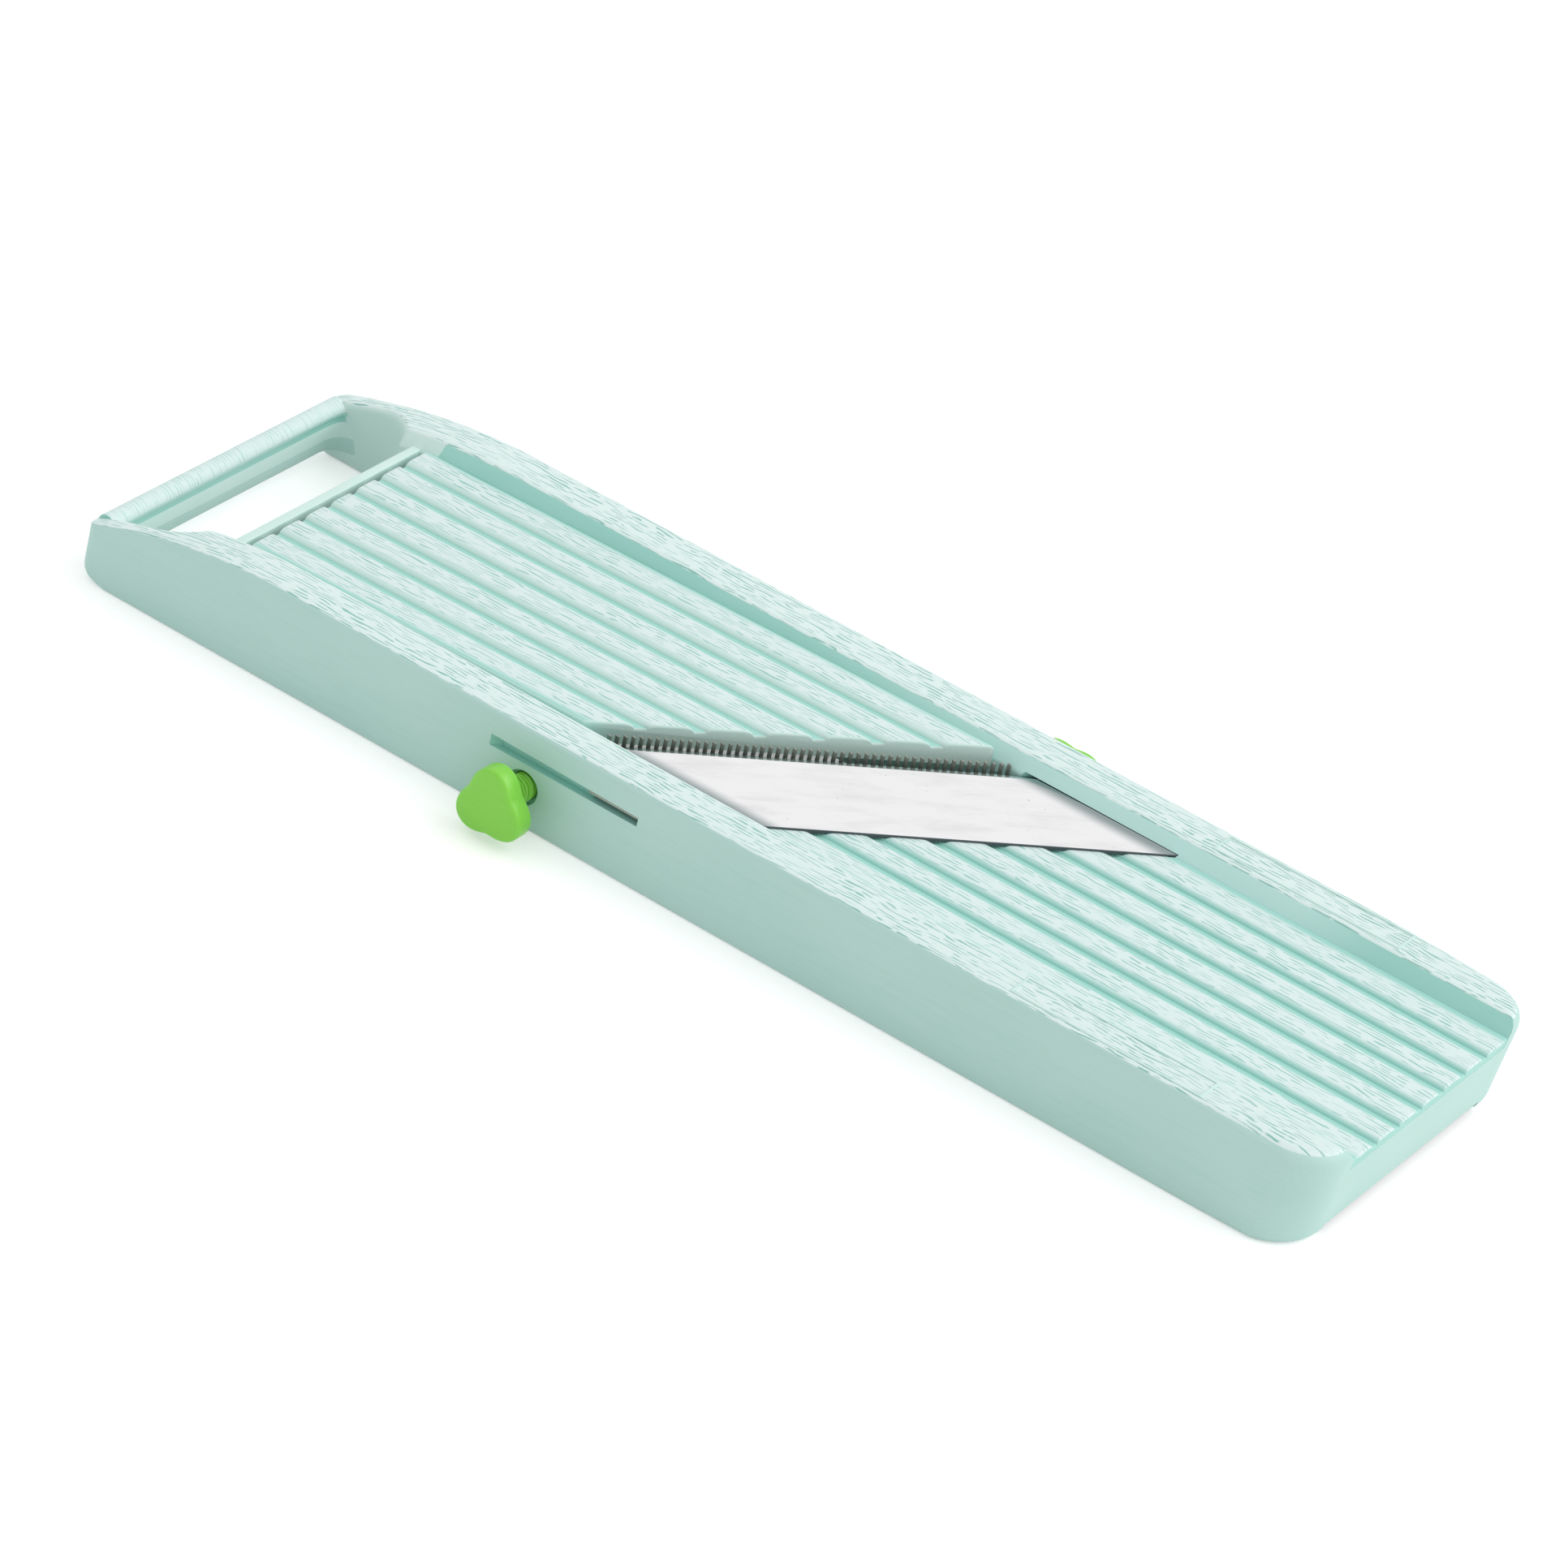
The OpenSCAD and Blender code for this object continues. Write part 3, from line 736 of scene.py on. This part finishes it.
def handle_bar():
    """The slim bar at the handle end, with a round top and rounded inner corners."""
    section = [(-157.2, 3.5), (-157.55, 3.65), (-157.68, 4.2), (-157.68, 12.6), (-157.5, 13.5),
               (-157.05, 14.3), (-156.4, 14.8), (-155.5, 15.0), (-154.6, 14.85), (-153.8, 14.4),
               (-153.2, 13.8), (-152.85, 13.1), (-152.75, 12.5), (-152.95, 12.0), (-153.15, 11.4),
               (-153.0, 10.6), (-152.75, 9.6), (-152.8, 7.2), (-153.15, 4.1), (-153.7, 3.5)]
    first_inner = 10
    corner, reach = 5.5, HANDLE_Y + 0.8
    places = [0, 12, 24, 33, 35.2, 36.4, 37.4, 38.3, 39.1, 39.7, 40.1, 40.35, HANDLE_Y, reach]
    places = [-y for y in reversed(places[1:])] + places
    stations = []
    for y in places:
        d = max(0.0, min(corner, abs(y) - (HANDLE_Y - corner)))
        swell = corner - math.sqrt(corner ** 2 - d ** 2)
        stations.append([(x + (swell * (1 - 0.8 * ease(4, 12, z)) if i >= first_inner else 0), y, z)
                         for i, (x, z) in enumerate(section)])

    def finish(centre, normal):
        if centre.z > 12.4:
            return 0 if normal.z > 0.2 else 1
        # Painted light and shade: on the bar's inner face the band below 10.4 mm takes the paler
        # mint and the band above it the deeper smooth mint
        if centre.x < -155 or centre.z < 7:
            return 1
        return 2 if centre.z < 10.4 else 3

    return sweep("handle_bar", stations, (mint_bar, mint_wall, mint_pale_and_lit, mint_smooth), finish)


def adjustable_plate():
    """The hinged plate: ridges on top, skirts at the sides and front, barrels for its rod."""
    half, low, skin = HALF_BED - 0.3, PLATE_Z - SKIRT, PLATE_Z - RIDGE_H - SKIN
    wall, edge_r = 1.8, 0.7
    top_line = ridge_line(half, PLATE_Z, edge_r)
    under = [(half, low), (half - wall, low), (half - wall, skin), (-half + wall, skin),
             (-half + wall, low), (-half, low)]
    section = top_line + under

    def ring(place, down=0.0, skirt=False):
        return [(place(y), y,
                 (low if skirt and z < skin + 0.01 else z) - (down if z > skin else 0))
                for y, z in section]

    stations = [ring(lambda y, b=back: PLATE_X0 + b, down)
                for back, down in reversed(end_round(0.5))]
    step = PLATE_EDGE - wall * DIAG
    stations += [ring(lambda y: y + step), ring(lambda y: y + step + 0.02, 0.0, True)]
    stations += [ring(lambda y, b=back: y + PLATE_EDGE - b, down, True)
                 for back, down in end_round(edge_r)]

    def finish(centre, normal):
        top = normal.z > 0.02 and centre.z > PLATE_Z - RIDGE_H - 0.1
        # Painted light: every face but the ridged top takes the paler mint, standing in for the
        # light on the plate's front face
        return 0 if top and abs(normal.x - normal.y) < 0.45 else 1

    plate = sweep("adjustable_plate", stations, (mint_ridged, mint_pale_and_lit), finish)
    for side in (-1, 1):
        barrel = revolve("barrel", [(2.0, -6), (2.35, -5.7), (2.35, 5.7), (2.0, 6)],
                         (HINGE.x, side * (half - 6), HINGE.z), (0, 1, 0), (mint_smooth,), 40)
        boolean(plate, barrel, "UNION")
    bore_r = 1.56
    boolean(plate, revolve("bore", [(bore_r, -40), (bore_r, 40)], HINGE, (0, 1, 0),
                           (mint_smooth,), 32))
    for v in plate.data.vertices:
        v.co.z += math.tan(PLATE_RISE) * (v.co.x - HINGE.x * MM)
    return plate


def panel_frames():
    """A thin raised outline, bare inside, on the top of each rail."""
    x0, x1, line, high = 80.45, 126.95, 0.45, 0.26
    frames = []
    for side in (-1, 1):
        y0, y1 = sorted((side * 36.6, side * 43.9))
        outer = block("panel_outer", (x0, y0, RAIL_Z - 0.3), (x1, y1, RAIL_Z + high),
                      (mint_pale_and_lit,), 0.1)
        boolean(outer, block("panel_field", (x0 + line, y0 + line, RAIL_Z - 2),
                             (x1 - line, y1 - line, RAIL_Z + 2), (mint_pale_and_lit,)))
        frames.append(outer)
    return frames


def repeat_tree(name, build, numbers):
    """A Geometry Nodes tree with named number inputs that ends in real, finished faces."""
    tree = bpy.data.node_groups.new(name, "GeometryNodeTree")
    socket(tree, "NodeSocketGeometry", "Geometry", "INPUT")
    for key in numbers:
        socket(tree, "NodeSocketInt" if key == "Count" else "NodeSocketFloat", key, "INPUT")
    socket(tree, "NodeSocketMaterial", "Material", "INPUT")
    socket(tree, "NodeSocketGeometry", "Geometry", "OUTPUT")
    source = tree.nodes.new("NodeGroupInput").outputs
    real = add(tree, "GeometryNodeRealizeInstances", Geometry=build(tree, source))
    finish = add(tree, "GeometryNodeSetMaterial", Geometry=real.outputs[0],
                 Material=source["Material"])
    add(tree, "NodeGroupOutput", Geometry=finish.outputs[0])
    return tree


def grow(name, tree, material, carrier=None, **sizes):
    """A plain mesh made by a tree, with its inputs set by name: counts and millimetres."""
    piece = bpy.data.objects.new(name, carrier or bpy.data.meshes.new(name))
    bpy.context.scene.collection.objects.link(piece)
    modifier = piece.modifiers.new("repeat", "NODES")
    modifier.node_group = tree
    values = {"Material": material}
    for key, size in sizes.items():
        values[key.replace("_", " ")] = size if isinstance(size, int) else size * MM
    for item in tree.interface.items_tree:
        if item.item_type == "SOCKET" and item.in_out == "INPUT" and item.name in values:
            modifier[item.identifier] = values[item.name]
    bpy.context.view_layer.update()
    bake(piece)
    return piece


def joined(tree, parts):
    node = tree.nodes.new("GeometryNodeJoinGeometry")
    for part in parts:
        tree.links.new(part, node.inputs[0])
    return node.outputs[0]


def row(tree, count, step, shape):
    """Copies of a shape at even steps."""
    line = tree.nodes.new("GeometryNodeMeshLine")
    line.mode = "OFFSET"
    tree.links.new(count, line.inputs["Count"])
    tree.links.new(step, line.inputs["Offset"])
    return add(tree, "GeometryNodeInstanceOnPoints", Points=line.outputs["Mesh"],
               Instance=shape).outputs[0]


def thread_shape(tree, source):
    """A core with thread starts wound round it, along +Z."""
    length, core_r = source["Length"], source["Core radius"]
    core = add(tree, "GeometryNodeMeshCylinder", Vertices=48, Radius=core_r, Depth=length)
    lift = add(tree, "GeometryNodeTransform", Geometry=core.outputs["Mesh"],
               Translation=vector(tree, z=times(tree, length, 0.5)))
    spiral = add(tree, "GeometryNodeCurveSpiral", Resolution=32, Height=length,
                 Rotations=math_node(tree, "DIVIDE", length, source["Lead"]),
                 Start_Radius=core_r, End_Radius=core_r)
    crest = add(tree, "GeometryNodeCurvePrimitiveCircle", Resolution=6,
                Radius=source["Crest height"])
    wound = add(tree, "GeometryNodeCurveToMesh", Curve=spiral.outputs[0],
                Profile_Curve=crest.outputs[0], Fill_Caps=True)
    starts = [add(tree, "GeometryNodeTransform", Geometry=wound.outputs[0],
                  Rotation=(0, 0, 2 * math.pi * k / THREAD_STARTS)).outputs[0]
              for k in range(THREAD_STARTS)]
    return joined(tree, [lift.outputs[0]] + starts)


def teeth_shape(tree, source):
    """A row of upright teeth along the blade, each with a slanting top."""
    tooth = add(tree, "GeometryNodeMeshCube",
                Size=vector(tree, source["Length"], source["Thickness"], source["Height"]))
    x, _, z = axes(tree, tree.nodes.new("GeometryNodeInputPosition").outputs[0])
    along = plus(tree, math_node(tree, "DIVIDE", x, source["Length"]), 0.5)
    fall = times(tree, times(tree, along, source["Slant"]), -1.0)
    top = math_node(tree, "GREATER_THAN", z, 0.0)
    shaped = add(tree, "GeometryNodeSetPosition", Geometry=tooth.outputs["Mesh"],
                 Offset=vector(tree, z=times(tree, fall, top)))
    step = times(tree, source["Pitch"], 1 / DIAG)
    return row(tree, source["Count"], vector(tree, step, step), shaped.outputs[0])


def ribs_shape(tree, source):
    """Equal cross ribs, spaced along the body."""
    rib = add(tree, "GeometryNodeMeshCube",
              Size=vector(tree, source["Thickness"], source["Width"], source["Height"]))
    return row(tree, source["Count"], vector(tree, source["Step"]), rib.outputs["Mesh"])


def screws_shape(tree, source):
    """Pan-headed screws at the points of the mesh that carries the tree, heads down."""
    taper = 0.72
    head = add(tree, "GeometryNodeMeshCone", Vertices=32, Radius_Top=source["Head radius"],
               Radius_Bottom=times(tree, source["Head radius"], taper),
               Depth=source["Head height"])
    shank = add(tree, "GeometryNodeMeshCylinder", Vertices=24, Radius=source["Shank radius"],
                Depth=source["Shank length"])
    rise = plus(tree, times(tree, source["Shank length"], 0.5), source["Head height"])
    lift = add(tree, "GeometryNodeTransform", Geometry=shank.outputs["Mesh"],
               Translation=vector(tree, z=rise))
    screw = joined(tree, [head.outputs["Mesh"], lift.outputs[0]])
    return add(tree, "GeometryNodeInstanceOnPoints", Points=source["Geometry"],
               Instance=screw).outputs[0]


THREAD = repeat_tree("thread", thread_shape, ("Length", "Lead", "Core radius", "Crest height"))
TEETH = repeat_tree("comb_teeth", teeth_shape,
                    ("Count", "Pitch", "Length", "Thickness", "Height", "Slant"))
RIBS = repeat_tree("cross_ribs", ribs_shape, ("Count", "Step", "Thickness", "Width", "Height"))
SCREWS = repeat_tree("pan_screws", screws_shape,
                     ("Head radius", "Head height", "Shank radius", "Shank length"))


def moved(piece, offset, axis=(0, 0, 1)):
    """Turns a mesh made along +Z to an axis, and moves it by millimetres."""
    turn = Vector((0, 0, 1)).rotation_difference(Vector(axis)).to_matrix().to_4x4()
    piece.data.transform(Matrix.Translation(Vector(offset) * MM) @ turn)
    return piece


def body_moulding():
    """The body in one piece: rails, handle, bed, ribs, bridge, hinge bar and bosses."""
    body = body_blank()
    boolean(body, inner_cutter(), solver="MANIFOLD")
    boolean(body, fixed_bed(), "UNION")
    boolean(body, handle_bar(), "UNION")
    skin = (mint_smooth,)
    cross = HALF_BED + 0.4
    for side in (-1, 1):
        y0, y1 = sorted((side * 34.4, side * 43.2))
        boolean(body, block("hollow", (-110.2, y0, -3), (147.7, y1, 20.8), skin, 0.8))
    boolean(body, block("hinge_bar", (-128.5, -cross, 10.2), (-126.2, cross, 19.2),
                        (mint_pale_and_lit,), 0.35), "UNION")
    boolean(body, block("bridge", (-63, -cross, 8.6), (-41, cross, 12.2), skin, 0.4), "UNION")
    ribs = grow("cross_ribs", RIBS, mint_smooth, Count=3, Step=28.433, Thickness=1.6,
                Width=64.6, Height=7.2)
    moved(ribs, (70.8, 0, 13.8))
    boolean(body, ribs, "UNION")
    for side, x in ((-1, NEAR_SCREW_X), (1, FAR_SCREW_X)):
        seat = (x, 0, SCREW_Z), (0, side, 0), skin, 48
        boolean(body, revolve("screw_boss", [(5.2, 37.5), (5.6, 37.9), (5.6, 44.6)], *seat),
                "UNION")
        boolean(body, revolve("screw_hole", [(3.3, 33), (3.3, 44.2), (3.9, 44.3), (3.9, 45.2),
                                             (4.3, 45.9)], *seat))
    boolean(body, revolve("bridge_hole", [(4.1, 0), (4.1, 20)], (DEPTH_X, 0, 0), (0, 0, 1),
                          skin, 48))
    boolean(body, sheared("near_slot", SLOT_U0, SLOT_U1, -47, -30, SLOT_Z, (17.5, 16.95), skin))
    boolean(body, block("slot_web", (-47.5, -43.4, 13.4), (-22.6, -42.3, 19.0), skin), "UNION")
    boolean(body, sheared("far_slot", SLOT_U0, SLOT_U1, 30, 42, SLOT_Z, (17.3, 17.3), skin))
    play, slit_top = 0.15, BLADE_Z1 + 0.16
    for y0, y1 in ((-41.5, -31.0), (31.0, 41.5)):
        boolean(body, sheared("blade_slit", BLADE_U0 - play, BLADE_U1 + play, y0, y1,
                              BLADE_Z0 + 0.02, (slit_top, slit_top), skin))
    return join("body_moulding", [body] + panel_frames())


def main_blade():
    """The flat blade, with its ground bevel towards the plate."""
    section = [(BLADE_U0, 19.4), (BLADE_U0, 19.58), (BLADE_U0 + 2.0, 20.34), (BLADE_U0 + 2.4, 20.4),
               (BLADE_U1 - 0.12, 20.4), (BLADE_U1, 20.3), (BLADE_U1, 19.4)]
    stations = [[(y + u * DIAG, y, z) for u, z in section] for y in (-40, -20, 0, 20, 40)]
    forward = Vector((-1, 1, 0)) / DIAG

    def finish(centre, normal):
        if normal.z > 0.999 or normal.z < -0.5:
            return 0
        if normal.dot(forward) > 0.1:
            return 1 if normal.z > 0.97 or normal.z < 0.5 else 0
        return 2

    return sweep("main_blade", stations, (blade_steel, blade_bevel, cut_edge), finish)


def comb_blade():
    """The comb: a slotted strip, its tab, its two ears and the row of teeth."""
    steel, flat = (comb_steel_dull_and_shaded,), (COMB_Z1, COMB_Z1)
    u0, u1 = 0.4, 24.8
    tab_u, window_u = u1 - 9.2, u0 + 4.6
    strip = sheared("comb_blade", u0, u1, -35.4, 35.4, COMB_Z0, flat, steel)
    boolean(strip, sheared("comb_window", window_u, tab_u, -31, 31, 10, (20, 20), steel))
    boolean(strip, sheared("comb_tab", tab_u, u1, -45.2, -34, COMB_Z0, flat, steel), "UNION")
    teeth = grow("comb_teeth", TEETH, comb_steel_dull_and_shaded, Count=TEETH_COUNT, Pitch=TOOTH_PITCH,
                 Length=0.82, Thickness=0.5, Height=4.7, Slant=0.2)
    teeth.data.materials.append(tooth_highlight)
    # Painted highlight: the teeth's end faces towards +X take the pale tooth steel, for the light
    # they catch
    for polygon in teeth.data.polygons:
        if polygon.normal.x > 0.9:
            polygon.material_index = 1
    first = FIRST_TOOTH * TOOTH_PITCH
    moved(teeth, ((u0 + 0.5 + first) / DIAG + 0.55, (first - u0 - 0.5) / DIAG, COMB_Z1 + 2.3))
    ears = []
    for side, x in ((-1, NEAR_SCREW_X), (1, FAR_SCREW_X)):
        y0, y1 = sorted((side * 34.7, side * 35.4))
        x0, x1 = x - 4, x + 12
        ears.append(block("ear", (x0, y0, 5.9), (x0 + 8, y1, COMB_Z1), steel, 0.08))
        ears.append(block("ear_foot", (x0, y0, COMB_Z0), (x1, y1, COMB_Z1), steel, 0.05))
    return join("comb_blade", [strip, teeth] + ears)


def lobe_outline(r, turn, count=96):
    """A three-lobed outline, seen from the front, with a lobe at an angle in radians."""
    waist = r * KNOB_WAIST
    outline = []
    for k in range(count):
        a = 2 * math.pi * k / count
        reach = waist + (r - waist) * ((1 + math.cos(3 * a)) / 2) ** LOBE_BREADTH
        outline.append((reach * math.cos(a + turn), reach * math.sin(a + turn)))
    return outline


def knob(name, size, turn, place):
    """A lobed knob with a rolled edge and a slightly domed face.

    size is its radius, thickness and edge radius, and place turns (a, b, h) to a point.
    """
    r, thick, edge_r = size
    outline = lobe_outline(r, math.radians(turn))
    normals = normals_of(outline)
    levels = [(0.5, 0.0), (0.15, 0.15), (0.0, 0.5), (0.0, thick - edge_r)]
    levels += [(edge_r * (1 - math.cos(a)), thick - edge_r * (1 - math.sin(a)) - 0.12)
               for a in (math.radians(d) for d in (20, 40, 60, 78))]
    rings = [[place(x - nx * i, y - ny * i, h) for (x, y), (nx, ny) in zip(outline, normals)]
             for i, h in levels]
    for scale, h in ((0.55, thick - 0.03), (0.28, thick), (0.1, thick)):
        rings.append([place(x * scale, y * scale, h) for x, y in outline])
    verts, faces = stack_rings(rings)
    return make_mesh(name, verts, faces, (lime_gloss,), sharp=50)


def side_screw(name, side, x, turn):
    """A thumb screw's threaded shank and its knob."""
    tip, face = 35.7, HALF_W + KNOB_GAP
    shank = grow(name + "_shank", THREAD, lime_gloss, Length=face + 0.6 - tip,
                 Lead=THREAD_LEAD, Core_radius=2.75, Crest_height=CREST)
    moved(shank, (x, side * tip, SCREW_Z), (0, side, 0))
    head = knob(name + "_knob", SIDE_KNOB, turn,
                lambda a, b, h: (x + a, side * (face + h), SCREW_Z + b))
    return shank, head


def depth_screw():
    """The depth screw under the plate, with a domed tip and a flat knob below the bridge."""
    shank = grow("depth_screw_shank", THREAD, lime_gloss, Length=9.4, Lead=THREAD_LEAD,
                 Core_radius=3.55, Crest_height=CREST)
    moved(shank, (DEPTH_X, 0, DEPTH_Z))
    tip = revolve("depth_tip", [(3.6, 17.2), (3.5, 17.6), (2.9, 18.15), (1.7, 18.5),
                                (0.5, 18.64)], (DEPTH_X, 0, 0), (0, 0, 1), (lime_gloss,), 48)
    head = knob("depth_knob", DEPTH_KNOB, 0, lambda a, b, h: (DEPTH_X + a, -b, DEPTH_Z - h))
    return join("depth_screw_shank", [shank, tip]), head


body = body_moulding()
plate = adjustable_plate()
blade = main_blade()
comb = comb_blade()
rod = revolve("hinge_rod", [(1.2, -34.4), (1.5, -34.1), (1.5, 34.1), (1.2, 34.4)], HINGE,
              (0, 1, 0), (blade_steel,), 40)
seats = bpy.data.meshes.new("screw_seats")
seats.from_pydata([Vector((u * DIAG + side * SEAT_Y, side * SEAT_Y, 18.7)) * MM
                   for side in (-1, 1) for u in SEAT_U], [], [])
blade_screws = grow("blade_screws", SCREWS, blade_steel, seats, Head_radius=2.6,
                    Head_height=1.4, Shank_radius=1.5, Shank_length=2.2)
near_shank, near_knob = side_screw("near", -1, NEAR_SCREW_X, NEAR_KNOB_TURN)
far_shank, far_knob = side_screw("far", 1, FAR_SCREW_X, FAR_KNOB_TURN)
depth_shank, depth_knob = depth_screw()

for piece, body_name, slot_name, nodes in (
        (body, "base", "mint", ("near_rail", "far_rail", "handle_bar", "hinge_bar", "outfeed_bed",
                                "bed_ribs", "outfeed_end_wall", "rail_panels", "screw_bridge")),
        (plate, "plate", "mint", ("adjustable_plate",)),
        (blade, "base", "steel", ("main_blade",)),
        (comb, "comb", "steel", ("comb_blade",)),
        (rod, "base", "steel", ("plate_hinge_rod",)),
        (blade_screws, "base", "steel", ("blade_screws",)),
        (near_shank, "near_slider", "lime", ("near_screw_shank",)),
        (near_knob, "near_turner", "lime", ("near_knob",)),
        (far_shank, "far_slider", "lime", ("far_screw_shank",)),
        (far_knob, "far_turner", "lime", ("far_knob",)),
        (depth_shank, "depth_slider", "lime", ("depth_screw_shank",)),
        (depth_knob, "depth_turner", "lime", ("depth_knob",))):
    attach(piece, body_name)
    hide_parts(*nodes)


# ---------------------------------------------------------------- studio

def mix_shader(tree, factor, first, second):
    mix = tree.nodes.new("ShaderNodeMixShader")
    for item, value in zip(mix.inputs, (factor, first, second)):
        tree.links.new(value, item)
    return mix.outputs[0]


def seen_white(tree, lit, white):
    """Mixes in plain white where the eye, a gloss or a clear part looks."""
    path = tree.nodes.new("ShaderNodeLightPath").outputs
    seen = math_node(tree, "MAXIMUM", path["Is Camera Ray"], path["Is Glossy Ray"])
    seen = math_node(tree, "MAXIMUM", seen, path["Is Transmission Ray"])
    return mix_shader(tree, seen, lit, white)


def white_room():
    """Plain white surroundings that light the part evenly."""
    world = bpy.data.worlds.new("white_room")
    world.use_nodes = True
    bpy.context.scene.world = world
    tree = world.node_tree
    ambient = tree.nodes["Background"]
    ambient.inputs["Color"].default_value = (1, 1, 1, 1)
    ambient.inputs["Strength"].default_value = AMBIENT
    white = add(tree, "ShaderNodeBackground", Color=(1, 1, 1, 1), Strength=1.0)
    tree.links.new(seen_white(tree, ambient.outputs[0], white.outputs[0]),
                   tree.nodes["World Output"].inputs["Surface"])


def pale_floor():
    """A floor that keeps the shadow, looks white, and is clear from below."""
    floor = bpy.data.objects.new("floor", bpy.data.meshes.new("floor"))
    w, z = FLOOR_REACH, FLOOR_Z
    floor.data.from_pydata([(-w, -w, z), (w, -w, z), (w, w, z), (-w, w, z)], [],
                           [(0, 1, 2, 3)])
    bpy.context.scene.collection.objects.link(floor)
    material = bpy.data.materials.new("pale_floor")
    material.use_nodes = True
    tree = material.node_tree
    tree.nodes.remove(tree.nodes["Principled BSDF"])
    matte = add(tree, "ShaderNodeBsdfDiffuse", Color=(FLOOR_TONE, FLOOR_TONE, FLOOR_TONE, 1))
    glow = add(tree, "ShaderNodeEmission", Strength=FLOOR_LIFT)
    both = tree.nodes.new("ShaderNodeAddShader")
    tree.links.new(matte.outputs[0], both.inputs[0])
    tree.links.new(glow.outputs[0], both.inputs[1])
    clear = tree.nodes.new("ShaderNodeBsdfTransparent")
    side = tree.nodes.new("ShaderNodeNewGeometry")
    shown = mix_shader(tree, side.outputs["Backfacing"],
                       seen_white(tree, matte.outputs[0], both.outputs[0]), clear.outputs[0])
    tree.links.new(shown, tree.nodes["Material Output"].inputs["Surface"])
    floor.data.materials.append(material)


def studio():
    """White surroundings, a pale floor and one broad lamp."""
    white_room()
    pale_floor()
    lamp = bpy.data.lights.new("overhead", "SUN")
    lamp.energy = LAMP
    lamp.angle = math.radians(LAMP_SPREAD)
    overhead = bpy.data.objects.new("overhead", lamp)
    overhead.rotation_euler = Vector(LAMP_FROM).to_track_quat("Z", "Y").to_euler()
    bpy.context.scene.collection.objects.link(overhead)


def camera():
    """The camera, turned a little about its own line of sight."""
    heading, tilt, roll = (math.radians(a) for a in (HEADING, TILT, ROLL))
    forward = Vector((-math.sin(heading) * math.cos(tilt), math.cos(heading) * math.cos(tilt),
                      -math.sin(tilt)))
    level = forward.cross(Vector((0, 0, 1))).normalized()
    drop = forward.cross(level)
    right = math.cos(roll) * level + math.sin(roll) * drop
    up = -forward.cross(right)
    data = bpy.data.cameras.new("camera")
    data.lens, data.sensor_width, data.sensor_fit = LENS, SENSOR, "HORIZONTAL"
    data.clip_start, data.clip_end = 0.05, 20.0
    view = bpy.data.objects.new("camera", data)
    turn = Matrix((right, up, -forward)).transposed()
    view.matrix_world = Matrix.Translation(CAMERA_AT) @ turn.to_4x4()
    bpy.context.scene.collection.objects.link(view)
    bpy.context.scene.camera = view


studio()
camera()
bpy.context.scene.view_settings.view_transform = "Standard"
